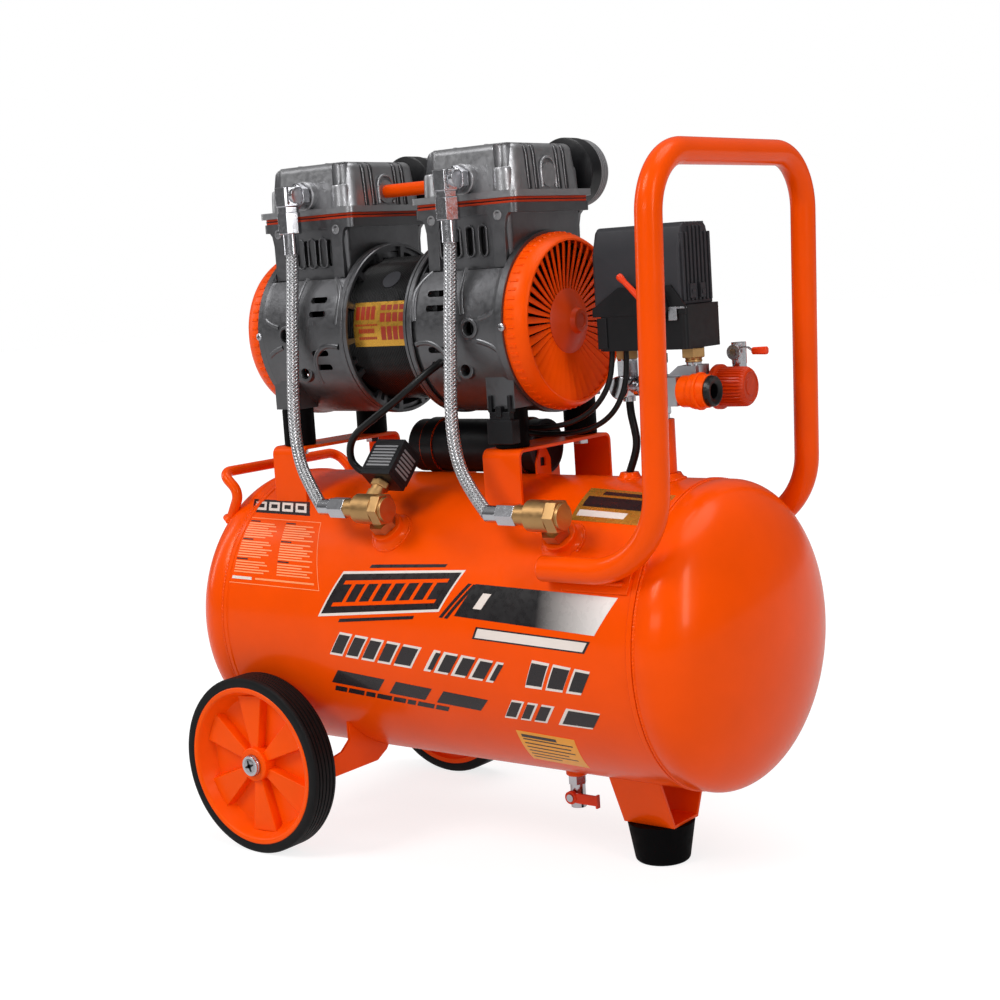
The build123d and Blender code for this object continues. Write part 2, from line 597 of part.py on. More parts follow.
# ---------------------------------------------------------------- capacitor and mounts
def make_under_pump(envelope):
    radius, y, z = 25.0, 30.0, 362.6
    low, high = -103.0, 44.0
    can = rod((low, y, z), (high, y, z), radius)
    save("capacitor", fillet(can.edges().filter_by(GeomType.CIRCLE), 2.0))
    clamps = []
    for x in (-80.0, 20.0):
        band = rod((x - 7, y, z), (x + 7, y, z), radius + 1.6, radius)
        foot = block((x - 7, x + 7), (y + 18, y + 40), (326, 345))
        foot -= rod((x - 8, y, z), (x + 8, y, z), radius)
        clamps.append(band + foot - envelope)
    tab = plate_yz([(8, 330), (8, 350), (14, 362), (24, 362), (30, 352), (30, 330)], high + 0.3, 1.8)
    tab -= block((high, high + 4), (14, 22), (346, 354))
    clamps.append(tab - envelope)
    save("capacitor_clamps", *clamps)

    mounts, bolts = [], []
    for side in (-1, 1):
        x = PUMP_X + side * BRIDGE_X
        for y in (-MOUNT_Y, MOUNT_Y):
            mount = rod((x, y, BRIDGE_TOP_Z), (x, y, FOOT_LUG_Z), MOUNT_R, 4.0)
            mount = fillet(mount.edges().filter_by(GeomType.CIRCLE).group_by(SortBy.RADIUS)[-1], 1.5)
            mounts.append(mount)
            bolt = rod((x, y, 364), (x, y, FOOT_LUG_Z + 8), 4.0)
            nut = hexagon((x, y, 362.6), (x, y, 368.6), 12.5) - rod((x, y, 360), (x, y, 370), 4.0)
            bolts += [bolt, nut]
    save("rubber_mounts", *mounts)
    return bolts


# ---------------------------------------------------------------- pressure switch and manifold
def make_switch():
    x_low, x_high = SWITCH_X
    half = 26.0
    base = block((x_low + 6, x_high + 3), (-28, 28), (SWITCH_BASE_Z, SWITCH_SPLIT_Z))
    base = fillet(base.edges().filter_by(Axis.Z), 4.0)
    base -= block((x_low + 9, x_high), (-25, 25), (SWITCH_BASE_Z + 4, SWITCH_SPLIT_Z + 1))
    apron = plate_xz([(x_low, SWITCH_SPLIT_Z - 7), (x_low, SWITCH_SPLIT_Z), (x_low + 27, SWITCH_SPLIT_Z + 17),
                      (x_high - 10, SWITCH_SPLIT_Z + 17), (x_high + 3, SWITCH_SPLIT_Z),
                      (x_high + 3, SWITCH_SPLIT_Z - 7)], -28.5, 2.4)
    pivot = (201.7, 486.6)
    hub = rod((pivot[0], -26.2, pivot[1]), (pivot[0], -33.5, pivot[1]), 16.0)
    base = base + apron + hub - rod((pivot[0], -40, pivot[1]), (pivot[0], -20, pivot[1]), 3.0 + RUNNING_FIT)
    ports = [rod((x, 0, SWITCH_BASE_Z - 1), (x, 0, SWITCH_BASE_Z + 5), 4.0) for x in (155.3, RISER_X, 221.0)]
    save("switch_base", base - ports)

    cover = block((x_low, x_high), (-half, half), (SWITCH_SPLIT_Z, SWITCH_TOP_Z))
    cover = fillet(cover.edges().filter_by(Axis.Z), 5.0)
    cover = fillet(cover.faces().sort_by(Axis.Z)[-1].edges(), 4.0)
    cover -= block((x_low + 2.5, x_high - 2.5), (-half + 2.5, half - 2.5),
                   (SWITCH_SPLIT_Z - 1, SWITCH_TOP_Z - 2.5))
    cover -= block((x_low + 10, x_high - 4), (-half - 1, -half + 3), (SWITCH_SPLIT_Z - 1, SWITCH_SPLIT_Z + 18))
    for i in range(7):
        y = -18 + 6 * i
        cover -= block((x_high - 1.2, x_high + 1), (y - 1, y + 1), (SWITCH_SPLIT_Z + 12, SWITCH_TOP_Z + 1))
    save("switch_cover", cover)

    tip = (pivot[0] - 26.0, pivot[1] + 25.5)
    lever = rod((pivot[0], -37.5, pivot[1]), (pivot[0], -34.0, pivot[1]), 7.0)
    arm_dir = Vector(tip[0] - pivot[0], 0, tip[1] - pivot[1]).normalized()
    across = Vector(arm_dir.Z, 0, -arm_dir.X) * 2.8
    corners = [Vector(pivot[0], 0, pivot[1]) + across, Vector(tip[0], 0, tip[1]) + across,
               Vector(tip[0], 0, tip[1]) - across, Vector(pivot[0], 0, pivot[1]) - across]
    lever += plate_xz([(c.X, c.Z) for c in corners], -37.5, 3.5)
    lever += rod((tip[0], -38.5, tip[1]), (tip[0], -34.0, tip[1]), 3.4)
    lever += rod((pivot[0], -35, pivot[1]), (pivot[0], -22, pivot[1]), 3.0)
    save("switch_lever", lever)


def make_manifold():
    z = MANIFOLD_Z
    riser_top = TANK_Z + 183.0
    foot_z = TANK_Z + TANK_R + 5.0
    save("riser_pipe", rod((RISER_X, 0, foot_z), (RISER_X, 0, riser_top), 10.6, 7.0))
    solids = []
    column = rod((RISER_X, 0, riser_top), (RISER_X, 0, SWITCH_BASE_Z), 6.8)
    bar = rod((155.3, 0, z), (205, 0, z), 7.5) + hexagon((176, 0, z), (198, 0, z), 19.0)
    left_tee = rod((155.3, -15, z), (155.3, 9, z), 9.5) + rod((155.3, 0, z), (155.3, 0, 427), 8.0)
    left_tee += hexagon((155.3, 0, 427), (155.3, 0, 441), 17.0)
    left_tee -= hexagon((155.3, -16, z), (155.3, -10, z), 8.0)
    tail = rod((155.3, 0, z), (155.3, 0, 406), 5.5)
    body = column + bar + left_tee + tail
    casting = block((203, 221), (-30, 30), (404, 428)) + rod((221, 0, 428), (221, 0, 436), 10.0)
    roof = plate_xz([(200, 427), (212, 436), (229, 436), (229, 428), (221, 427)], -11, 22)
    solids.append(body - casting - roof)
    solids += [rod((155.3, 0, 441), (155.3, 0, SWITCH_BASE_Z), 8.5),
               rod((221, 0, 436), (221, 0, SWITCH_BASE_Z), 6.5)
               + rod((221, 0, 443), (221, 0, SWITCH_BASE_Z - 2), 9.0)]
    solids.append(outlet_branch())
    save("pipe_fittings", *solids)

    regulator = casting + roof
    regulator = regulator + rod((221, 20, 415.6), (229, 20, 415.6), 13.0)
    regulator += rod((221, -20, 415.6), (225, -20, 415.6), 9.0)
    pin = rod((221, 20, 415.6), (240, 20, 415.6), 5.0)
    save("regulator_body", regulator + pin)
    knob = rod((230, 20, 415.6), (236, 20, 415.6), 19.0) + rod((236, 20, 415.6), (263, 20, 415.6), 16.6)
    knob = fillet(knob.edges().filter_by(GeomType.CIRCLE).sort_by(Axis.X)[-1], 3.0)
    for i in range(16):
        groove = block((238, 258), (20 - 1.1, 20 + 1.1), (415.6 + 15.4, 415.6 + 18))
        knob -= groove.rotate(Axis((0, 20, 415.6), (1, 0, 0)), 22.5 * i)
    save("regulator_knob", knob - rod((229, 20, 415.6), (241, 20, 415.6), 5.0 + RUNNING_FIT))

    axis_y, axis_z = -20.0, 415.6

    def at(x):
        return (x, axis_y, axis_z)
    save("coupler_body", rod(at(225), at(251), 9.0) - rod(at(230), at(252), 6.2))
    sleeve = rod(at(231), at(247), 14.6)
    sleeve = fillet(sleeve.edges().filter_by(GeomType.CIRCLE), 2.5) + rod(at(237), at(240), 15.6)
    save("coupler_sleeve", sleeve - rod(at(220), at(252), 9.0 + RUNNING_FIT))

    y, z = OUTLET_Y, OUTLET_Z
    lever = rod((238, y - 10, z), (238, y - 7, z), 6.0)
    lever += block((242.5, 270), (y - 10, y - 7), (z - 3.5, z + 3.5))
    save("outlet_valve_lever", lever - rod((238, y - 12, z), (238, y - 6, z), 3.0 + RUNNING_FIT))


def outlet_branch():
    """The second outlet: an elbow pipe behind the regulator with a small ball valve on top."""
    y, z = OUTLET_Y, OUTLET_Z
    outlet = rod((212, 30, 421), (212, y, 421), 5.0) + rod((212, y, 421), (238, y, 421), 5.0)
    outlet += Pos(212, y, 421) * Sphere(5.0)
    outlet += hexagon((238, y, 416), (238, y, 433), 12.0)
    valve = rod((238, y, 433), (238, y, 451), 6.5) + rod((238, y, z), (238, y - 11, z), 3.0)
    return outlet + valve


def make_drain():
    x = PORTS["drain"][0]
    top = TANK_Z - TANK_R - 10.0
    body = rod((x, 0, top + 6), (x, 0, top), 5.9) + hexagon((x, 0, top), (x, 0, top - 8), 15.0)
    body += rod((x, 0, top - 8), (x, 0, top - 30), 7.0) - rod((x, 0, top - 31), (x, 0, top - 10), 3.0)
    body += rod((x, 0, top - 19), (x, -14, top - 19), 3.5) - rod((x, 0, top - 31), (x, 0, top - 12), 3.0)
    save("drain_valve", body)
    z = top - 19
    lever = rod((x, -12.8, z), (x, -9.0, z), 6.0) - rod((x, -14, z), (x, -8, z), 3.5 + RUNNING_FIT)
    lever += block((x + 5.2, x + 30), (-11.8, -9.0), (z - 4.5, z + 4.5))
    lever += block((x + 28, x + 30), (-13.8, -9.0), (z - 6, z + 6))
    save("drain_lever", lever)


# ---------------------------------------------------------------- cables
SWITCH_WIRES = {
    "switch_wire_near": [(153.5, -20, 450.6), (153, -20.5, 437), (149, -23, 419), (137, -27, 402),
                         (117, -30, 391), (92, -31, 386.5), (66, -30, 386), (45, -28, 388),
                         (30, -26, 393), (22, -25, 402.5)],
    "switch_wire_far": [(165, -16, 450.6), (165, -16.5, 435), (162, -18, 416), (152, -20, 398),
                        (134, -21, 386), (110, -21, 380.5), (84, -20, 379), (60, -19, 380),
                        (42, -18, 384), (32, -16.5, 392), (29, -15.5, 401)],
}
SOLENOID_CABLE = [(9, -71.5, 448.5), (4, -81, 442.5), (-6, -89, 433), (-20, -95, 421), (-38, -98.5, 409),
                  (-57, -99.5, 398), (-74, -98.5, 388), (-84, -96.5, 377), (-87, -93.5, 363.6),
                  (-82.4, -90.5, 355.8), (-74.6, -88.6, 351.2), (-62.2, -87.9, 351.2)]
UNLOADER_HOSE = [(155.3, 0, 406), (155.6, 0, 396), (158, 0.5, 384), (160, 1, 371),
                 (157, 1, 358), (151.3, 0, 344.6)]


def make_cables():
    for name, points in SWITCH_WIRES.items():
        cord(name, points, 2.4)
    cord("solenoid_cable", SOLENOID_CABLE, 3.4)
    cord("unloader_hose", UNLOADER_HOSE, 3.4)


def main():
    os.makedirs("parts", exist_ok=True)
    envelope = tank_solid()
    make_tank(envelope)
    make_frame(envelope)
    bolts = make_wheels()
    make_pump()
    make_valves()
    make_hoses()
    bolts += make_under_pump(envelope)
    foot_bolt = rod((FOOT_X, 0, 14), (FOOT_X, 0, 44), 4.0) + hexagon((FOOT_X, 0, 39.1), (FOOT_X, 0, 45), 13.0)
    save("chassis_bolts", *bolts, foot_bolt)
    make_switch()
    make_manifold()
    make_drain()
    make_cables()


main()
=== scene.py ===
import bpy
import bmesh
from math import cos, degrees, pi, radians, sin, sqrt, tan
from mathutils import Matrix, Vector


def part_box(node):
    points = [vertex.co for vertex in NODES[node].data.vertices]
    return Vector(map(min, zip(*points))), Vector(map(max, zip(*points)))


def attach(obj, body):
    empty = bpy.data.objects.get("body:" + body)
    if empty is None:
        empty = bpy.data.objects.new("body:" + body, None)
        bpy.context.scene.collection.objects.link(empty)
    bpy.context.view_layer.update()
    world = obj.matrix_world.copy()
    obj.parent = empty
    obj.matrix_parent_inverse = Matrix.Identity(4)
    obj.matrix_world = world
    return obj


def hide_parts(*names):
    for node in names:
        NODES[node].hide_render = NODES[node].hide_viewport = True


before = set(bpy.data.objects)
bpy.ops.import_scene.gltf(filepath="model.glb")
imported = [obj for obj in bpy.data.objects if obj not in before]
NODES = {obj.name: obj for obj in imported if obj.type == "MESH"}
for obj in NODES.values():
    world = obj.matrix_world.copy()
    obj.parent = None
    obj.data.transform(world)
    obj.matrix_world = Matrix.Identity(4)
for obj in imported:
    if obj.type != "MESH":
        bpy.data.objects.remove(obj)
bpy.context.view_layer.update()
MM = 0.001
X, Y, Z = Vector((1, 0, 0)), Vector((0, 1, 0)), Vector((0, 0, 1))


def span(node, axis):
    """(lowest, highest) of a CAD node along one axis, in millimetres."""
    low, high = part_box(node)
    return low[axis] / MM, high[axis] / MM


def middle(node, axis):
    return sum(span(node, axis)) / 2


def radius_of(node, axis):
    low, high = span(node, axis)
    return (high - low) / 2


# --- driving sizes, mm
TANK_R = radius_of("tank_head_right", 1)
TANK_Z = middle("tank_head_right", 2)
SEAM_X, TANK_END = span("tank_head_right", 0)
SKIRT = 12.7               # straight part of a tank head
WALL = 2.0                 # tank wall, as the pieces show it
PUMP_X, PUMP_Z = middle("stator", 0), middle("stator", 2)
PUMP = Vector((PUMP_X, 0, PUMP_Z))
STACK = 93.3               # from the pump's middle to the middle of each crankcase
STACKS = ((PUMP_X + STACK, 1), (PUMP_X - STACK, -1))
SIDES = (("right", 1), ("left", -1))
CASE_R = 78.0
HEAD_PORT = (2.0, 603.6)   # delivery port on a head: x from the stack, height
VALVE_ANGLE = radians(46)  # lean of the check valves and the solenoid
VALVE_OUT = 168.0          # their distance from the tank's axis
VALVE_XS = (-43.2, 145.0)

# --- camera
CAMERA_AT = Vector((979.1, -1255.4, 526.4)) * MM
CAMERA_AZ, CAMERA_EL, CAMERA_ROLL = radians(37.73), radians(7.55), radians(-3.79)
LENS, SENSOR = 62.94, 36.0


def spoke(angle, first, second):
    """The way out and the way across at an angle from first towards second."""
    return (first * cos(angle) + second * sin(angle), second * cos(angle) - first * sin(angle))


def make_camera():
    az, el = CAMERA_AZ, CAMERA_EL
    back = Vector((sin(az) * cos(el), -cos(az) * cos(el), sin(el)))
    level = Vector((cos(az), sin(az), 0))
    right, up = spoke(CAMERA_ROLL, level, back.cross(level))
    data = bpy.data.cameras.new("camera")
    data.lens, data.sensor_width = LENS, SENSOR
    data.clip_start, data.clip_end = 0.05, 50
    camera = bpy.data.objects.new("camera", data)
    turn = Matrix((right, up, back)).transposed().to_4x4()
    camera.matrix_world = Matrix.Translation(CAMERA_AT) @ turn
    bpy.context.scene.collection.objects.link(camera)
    bpy.context.scene.camera = camera


make_camera()

# --- materials
NOISE_BAND = (0.35, 0.65)  # where most of a noise's values lie
MICRON = 0.000001


def srgb(red, green, blue):
    """A colour as seen on screen, 0 to 255, as linear values."""
    return tuple(((c / 255 + 0.055) / 1.055) ** 2.4 if c > 10 else c / 255 / 12.92
                 for c in (red, green, blue)) + (1.0,)


def shade(value, colour):
    return tuple(min(1.0, c * value) for c in colour[:3]) + (1.0,)


class Nodes:
    """A short way to wire a material's nodes."""

    def __init__(self, name):
        self.material = bpy.data.materials.new(name)
        self.material.use_nodes = True
        self.tree = self.material.node_tree
        self.shader = self.tree.nodes["Principled BSDF"].inputs
        self.place = self.tree.nodes.new("ShaderNodeTexCoord").outputs["Object"]

    def add(self, kind, output, links=(), values=()):
        """A node with its inputs linked or set; gives one of its outputs."""
        node = self.tree.nodes.new(kind)
        for socket, source in links:
            self.tree.links.new(source, node.inputs[socket])
        for socket, value in values:
            node.inputs[socket].default_value = value
        return node.outputs[output]

    def set(self, **values):
        """Sets inputs of the shader; a socket is linked and a plain value is stored."""
        for key, value in values.items():
            socket = self.shader[key.replace("_", " ")]
            if isinstance(value, bpy.types.NodeSocket):
                self.tree.links.new(value, socket)
            else:
                socket.default_value = value

    def noise(self, scale, detail):
        """A noise of so many lumps a metre."""
        return self.add("ShaderNodeTexNoise", "Fac", [("Vector", self.place)],
                        [("Scale", scale), ("Detail", detail)])

    def ramp(self, source, low, high):
        """Maps a noise to a colour between low and high."""
        node = self.tree.nodes.new("ShaderNodeValToRGB")
        for element, position, colour in zip(node.color_ramp.elements, NOISE_BAND, (low, high)):
            element.position, element.color = position, colour
        self.tree.links.new(source, node.inputs["Fac"])
        return node.outputs["Color"]

    def spread(self, source, low, high, band=NOISE_BAND):
        """Maps a number within a band to one between low and high."""
        return self.add("ShaderNodeMapRange", "Result", [("Value", source)],
                        [("From Min", band[0]), ("From Max", band[1]), ("To Min", low), ("To Max", high)])

    def mix(self, factor, first, second):
        """Mixes two colours; first is a socket and second is a colour."""
        node = self.tree.nodes.new("ShaderNodeMix")
        node.data_type = "RGBA"
        self.tree.links.new(factor, node.inputs["Factor"])
        self.tree.links.new(first, node.inputs[6])
        node.inputs[7].default_value = second
        return node.outputs[2]

    def bump(self, source, depth):
        return self.add("ShaderNodeBump", "Normal", [("Height", source)], [("Distance", depth * MICRON)])


def finish_material(name, colour, rough, metal=0.0, coat=0.0, vary=0.08, lumps=25.0, grain=900.0,
                    depth=20, edge_wear_and_highlight=0.0, rough_vary=0.06, gloss=0.5, sheen=(1, 1, 1, 1)):
    """A surface with drifting colour, uneven gloss, a fine grain (microns) and paler edges: partly wear,
    partly a painted highlight.
    """
    n = Nodes(name)
    base = n.ramp(n.noise(lumps, 4.0), shade(1 - vary, colour), shade(1 + vary, colour))
    # Paler convex edges from Pointiness: partly wear, partly a painted highlight along the edges.
    if edge_wear_and_highlight:
        edge = n.add("ShaderNodeNewGeometry", "Pointiness")
        base = n.mix(n.spread(edge, 0.0, edge_wear_and_highlight, (0.53, 0.6)), base, shade(2.2, colour))
    n.set(Base_Color=base, Metallic=metal, Coat_Weight=coat, Coat_Roughness=0.06,
          Roughness=n.spread(n.noise(lumps * 6, 4.0), rough - rough_vary, rough + rough_vary),
          Normal=n.bump(n.noise(grain, 2.0), depth), Specular_IOR_Level=gloss, Specular_Tint=sheen)
    return n.material


def banner_material():
    """Black film with a painted reflection that turns it white towards its right-hand end."""
    n = Nodes("banner_film")
    across = n.add("ShaderNodeSeparateXYZ", "X", [("Vector", n.place)])
    dark = n.ramp(n.noise(40, 3.0), srgb(20, 18, 20), srgb(30, 27, 28))
    # Towards the right-hand end the colour turns white: a painted reflection.
    n.set(Base_Color=n.mix(n.spread(across, 0.0, 1.0, (0.135, 0.205)), dark, srgb(236, 230, 226)),
          Roughness=n.spread(n.noise(160, 3.0), 0.24, 0.34),
          Normal=n.bump(n.noise(900, 2.0), 6), Coat_Weight=0.3)
    return n.material


# Each look: its slot, its material's name, colour and roughness, and what else differs from the usual
LOOKS = {
    "paint": ("orange_paint", "orange_enamel", (240, 76, 0), 0.24,
              dict(coat=0.05, vary=0.025, grain=300, depth=3, rough_vary=0.03, gloss=0.2,
                   sheen=(1, 0.72, 0.4, 1))),
    "cast": ("black_casting", "cast_case", (104, 104, 106), 0.37,
             dict(metal=0.9, vary=0.06, grain=1500, depth=60, lumps=40)),
    # The heads' casting: a lighter copy of the case's, painted light for the light that falls on the
    # heads' tops.
    "cast_painted_lit": ("black_casting", "cast_head_painted_lit", (160, 160, 162), 0.38,
                   dict(metal=0.85, vary=0.05, grain=1500, depth=60, lumps=40)),
    "black_steel": ("black_steel", "black_steel", (12, 12, 13), 0.34,
                    dict(coat=0.1, gloss=0.25, vary=0.12, grain=700, edge_wear_and_highlight=0.3)),
    "plastic": ("black_plastic", "black_plastic", (18, 18, 20), 0.36,
                dict(gloss=0.25, vary=0.10, grain=2600, depth=30, edge_wear_and_highlight=0.25)),
    "grey_plastic": ("grey_plastic", "grey_plastic", (120, 120, 122), 0.4,
                     dict(vary=0.06, grain=2600, depth=30, edge_wear_and_highlight=0.15)),
    "orange_plastic": ("orange_plastic", "orange_plastic", (246, 80, 0), 0.36,
                       dict(vary=0.04, grain=2000, gloss=0.2, sheen=(1, 0.7, 0.4, 1))),
    "red_plastic": ("red_plastic", "red_plastic", (214, 30, 14), 0.34,
                    dict(coat=0.3, vary=0.06, grain=1800, edge_wear_and_highlight=0.1)),
    "chrome": ("chrome", "chrome", (200, 200, 204), 0.17,
               dict(metal=1.0, vary=0.03, lumps=60, grain=500, depth=3, rough_vary=0.03)),
    "brass": ("brass", "brass", (188, 148, 98), 0.40,
              dict(metal=1.0, vary=0.05, lumps=40, grain=1200, depth=10)),
    "steel": ("steel", "zinc_steel", (178, 178, 182), 0.3, dict(metal=1.0, lumps=80, grain=1500)),
    "aluminium": (None, "cast_aluminium", (176, 176, 180), 0.36, dict(metal=1.0, grain=1600, depth=50)),
    "rubber": (None, "rubber", (4, 4, 5), 0.6,
               dict(gloss=0.06, vary=0.18, grain=1800, depth=60, edge_wear_and_highlight=0.2)),
    "tyre": ("tyre", "tyre_rubber", (14, 14, 15), 0.5,
             dict(gloss=0.18, vary=0.15, grain=1200, depth=60, edge_wear_and_highlight=0.2)),
    "braid": ("braid", "steel_braid", (188, 188, 190), 0.36,
              dict(metal=1.0, vary=0.2, grain=5000, depth=50, lumps=300)),
    "core": ("rubber", "hose_core", (20, 20, 21), 0.6, dict(grain=3000)),
    "cable": ("cable", "cable_sheath", (8, 8, 9), 0.34, dict(gloss=0.25, vary=0.15, grain=2200)),
    "gasket": (None, "gasket", (196, 54, 12), 0.5, dict(gloss=0.25, grain=1500, depth=40)),
    "hub_plastic": ("orange_plastic", "hub_plastic", (206, 62, 4), 0.42, dict(gloss=0.25, grain=2000)),
    "knob_red": ("red_plastic", "knob_plastic", (186, 48, 0), 0.34,
                 dict(coat=0.04, gloss=0.18, vary=0.06, grain=1800, edge_wear_and_highlight=0.15)),
    "lever_red": ("red_plastic", "lever_plastic", (228, 58, 8), 0.38,
                  dict(gloss=0.25, coat=0.1, vary=0.06, grain=1800)),
    "dark_grey": ("black_plastic", "dark_grey_plastic", (44, 44, 48), 0.5,
                  dict(gloss=0.3, grain=2600, depth=30)),
    "ink": ("black_plastic", "film_ink", (34, 28, 30), 0.3,
            dict(coat=0.3, gloss=0.25, vary=0.10, depth=6)),
    "red_ink": ("red_plastic", "film_red_ink", (150, 40, 16), 0.35, dict(depth=6)),
    "pale_film": ("grey_plastic", "pale_film", (226, 214, 206), 0.34, dict(coat=0.2, vary=0.05, depth=6)),
    "yellow_film": ("brass", "yellow_film", (240, 158, 10), 0.36, dict(coat=0.2, vary=0.05, depth=6)),
    "gold_film": ("brass", "gold_film", (214, 160, 62), 0.28, dict(metal=0.7, lumps=30, depth=6)),
    "thin_film": ("orange_paint", "thin_film", (250, 150, 92), 0.36, dict(vary=0.04, depth=6)),
}
MATS = {look: finish_material(name, srgb(*colour), rough, **more)
        for look, (_, name, colour, rough, more) in LOOKS.items()}
SLOTS = {look: row[0] for look, row in LOOKS.items()}
MATS["banner_film"], SLOTS["banner_film"] = banner_material(), "black_plastic"

# Nodes with a finished copy of themselves: each look's edge radius in mm, and its nodes
REFINED = {
    "cast": (0.7, ["crankcase_left", "crankcase_right", "cylinder_left", "cylinder_right"]),
    # The heads take the painted-lit copy of the casting.
    "cast_painted_lit": (0.7, ["head_left", "head_right"]),
    "paint": (0.6, ["pump_bridges", "wheel_brackets", "foot_bracket", "crossover_pipe", "riser_pipe"]),
    "gasket": (0.3, ["head_gaskets"]),
    "black_steel": (0.4, ["coupler_body", "head_bolts"]),
    "chrome": (0.4, ["chassis_bolts", "drain_valve", "hose_fittings", "pipe_fittings"]),
    "brass": (0.5, ["check_valve_left", "check_valve_right", "check_valve_caps", "solenoid_stem"]),
    "plastic": (0.6, ["switch_base", "capacitor"]),
    "rubber": (0.8, ["rubber_mounts", "rubber_foot"]),
    "aluminium": (0.5, ["regulator_body"]),
}
# The other nodes, most of them replaced by a piece; the head bolts are steel below their copy
CAD_LOOKS = {
    "paint": ["tank_weldments", "lift_handle", "push_handle", "capacitor_clamps", "coupler_sleeve",
              "tank_barrel", "tank_head_left", "tank_head_right"],
    "tyre": ["tyre_front", "tyre_rear"],
    "orange_plastic": ["rim_front", "rim_rear", "fan_cover_left", "fan_cover_right"],
    "red_plastic": ["drain_lever", "switch_lever", "regulator_knob", "outlet_valve_lever"],
    "plastic": ["solenoid_coil", "air_filter_bases", "switch_cover", "cooling_fans"],
    "steel": ["head_bolts", "rotor"],
    "grey_plastic": ["air_filter_caps"],
    "black_steel": ["stator"],
    "aluminium": ["piston_left", "piston_right"],
    "braid": ["hose_left", "hose_right"],
    "cable": ["solenoid_cable", "switch_wire_near", "switch_wire_far", "unloader_hose"],
}


def dress_cad():
    """Gives every CAD node a procedural material."""
    finished = [(look, names) for look, (_, names) in REFINED.items()]
    for look, names in finished + list(CAD_LOOKS.items()):
        for name in names:
            materials = NODES[name].data.materials
            materials.clear()
            materials.append(MATS[look])


dress_cad()


# --- mesh building
def turns(count, start=0):
    """Angles spaced evenly round a circle."""
    return [start + 2 * pi * i / count for i in range(count)]


def circle(centre, across, other, radius, sides):
    return [centre + (across * cos(a) + other * sin(a)) * radius for a in turns(sides)]


class Shape:
    """Collects closed forms in millimetres, then becomes one object in metres."""

    def __init__(self):
        self.points, self.faces = [], []

    def add(self, points, faces):
        start = len(self.points)
        self.points += [Vector(p) for p in points]
        self.faces += [[start + i for i in face] for face in faces]
        return self

    def rings(self, rings, closed=False, caps=True):
        """Skins between rings of points; closed joins the last ring to the first."""
        count = len(rings[0])
        points = [p for ring in rings for p in ring]
        faces = []
        pairs = len(rings) if closed else len(rings) - 1
        for i in range(pairs):
            a, b = i * count, (i + 1) % len(rings) * count
            faces += [[a + j, a + (j + 1) % count, b + (j + 1) % count, b + j] for j in range(count)]
        if caps and not closed:
            faces += [list(range(count))[::-1], [len(points) - count + j for j in range(count)]]
        return self.add(points, faces)

    def push(self, ring, by):
        """A flat ring of points pushed along a vector."""
        return self.rings([ring, [p + by for p in ring]])

    def lathe(self, profile, base, axis, sides=96, closed=False):
        """Turns (along, radius) points about an axis through base."""
        base, axis = Vector(base), Vector(axis).normalized()
        across, other = square_to(axis)
        return self.rings([circle(base + axis * along, across, other, max(radius, 0.01), sides)
                           for along, radius in profile], closed=closed)

    def hoop(self, profile, base, axis, sides=96):
        """A lathe whose profile closes on itself."""
        return self.lathe(profile, base, axis, sides, closed=True)

    def hexagon(self, start, end, across_flats, chamfer=0.8):
        """A hexagonal nut or bar with turned ends."""
        start, end = Vector(start), Vector(end)
        length, corner, cut = (end - start).length, across_flats / sqrt(3), chamfer * 0.6
        return self.lathe([(0, corner - chamfer), (cut, corner), (length - cut, corner),
                           (length, corner - chamfer)], start, end - start, 6)

    def box(self, x, y, z):
        """A box from the (lowest, highest) of each axis."""
        ring = [Vector((x[i], y[j], z[0])) for i, j in ((0, 0), (1, 0), (1, 1), (0, 1))]
        return self.push(ring, Z * (z[1] - z[0]))

    def tube(self, line, radius, sides, caps=True):
        """A round bar along a dense line of points."""
        return self.rings([circle(point, across, other, radius, sides)
                           for point, across, other, _ in frames_along(line)], caps=caps)


def square_to(axis):
    """Two directions square to an axis and to each other."""
    start = Z if abs(axis.z) < 0.9 else X
    across = (start - axis * start.dot(axis)).normalized()
    return across, axis.cross(across)


def frames_along(line):
    """(point, across, other, distance) along a line, without twist."""
    line = [Vector(p) for p in line]
    tangents = []
    for i in range(len(line)):
        before, after = line[max(i - 1, 0)], line[min(i + 1, len(line) - 1)]
        tangents.append((after - before).normalized())
    across = square_to(tangents[0])[0]
    travelled, result = 0, []
    for i, (point, tangent) in enumerate(zip(line, tangents)):
        across = (across - tangent * across.dot(tangent)).normalized()
        if i:
            travelled += (point - line[i - 1]).length
        result.append((point, across, tangent.cross(across), travelled))
    return result


def rounded(points, radii, steps):
    """Straight runs joined by arcs."""
    points = [Vector(p) for p in points]
    line = [points[0]]
    for (before, here, after), radius in zip(zip(points, points[1:], points[2:]), radii):
        enter, leave = (here - before).normalized(), (after - here).normalized()
        turn = enter.angle(leave)
        back = radius * tan(turn / 2)
        centre = here - enter * back + (leave - enter * enter.dot(leave)).normalized() * radius
        start, normal = here - enter * back - centre, enter.cross(leave).normalized()
        line += [centre + Matrix.Rotation(turn * i / steps, 3, normal) @ start for i in range(steps + 1)]
    return line + [points[-1]]


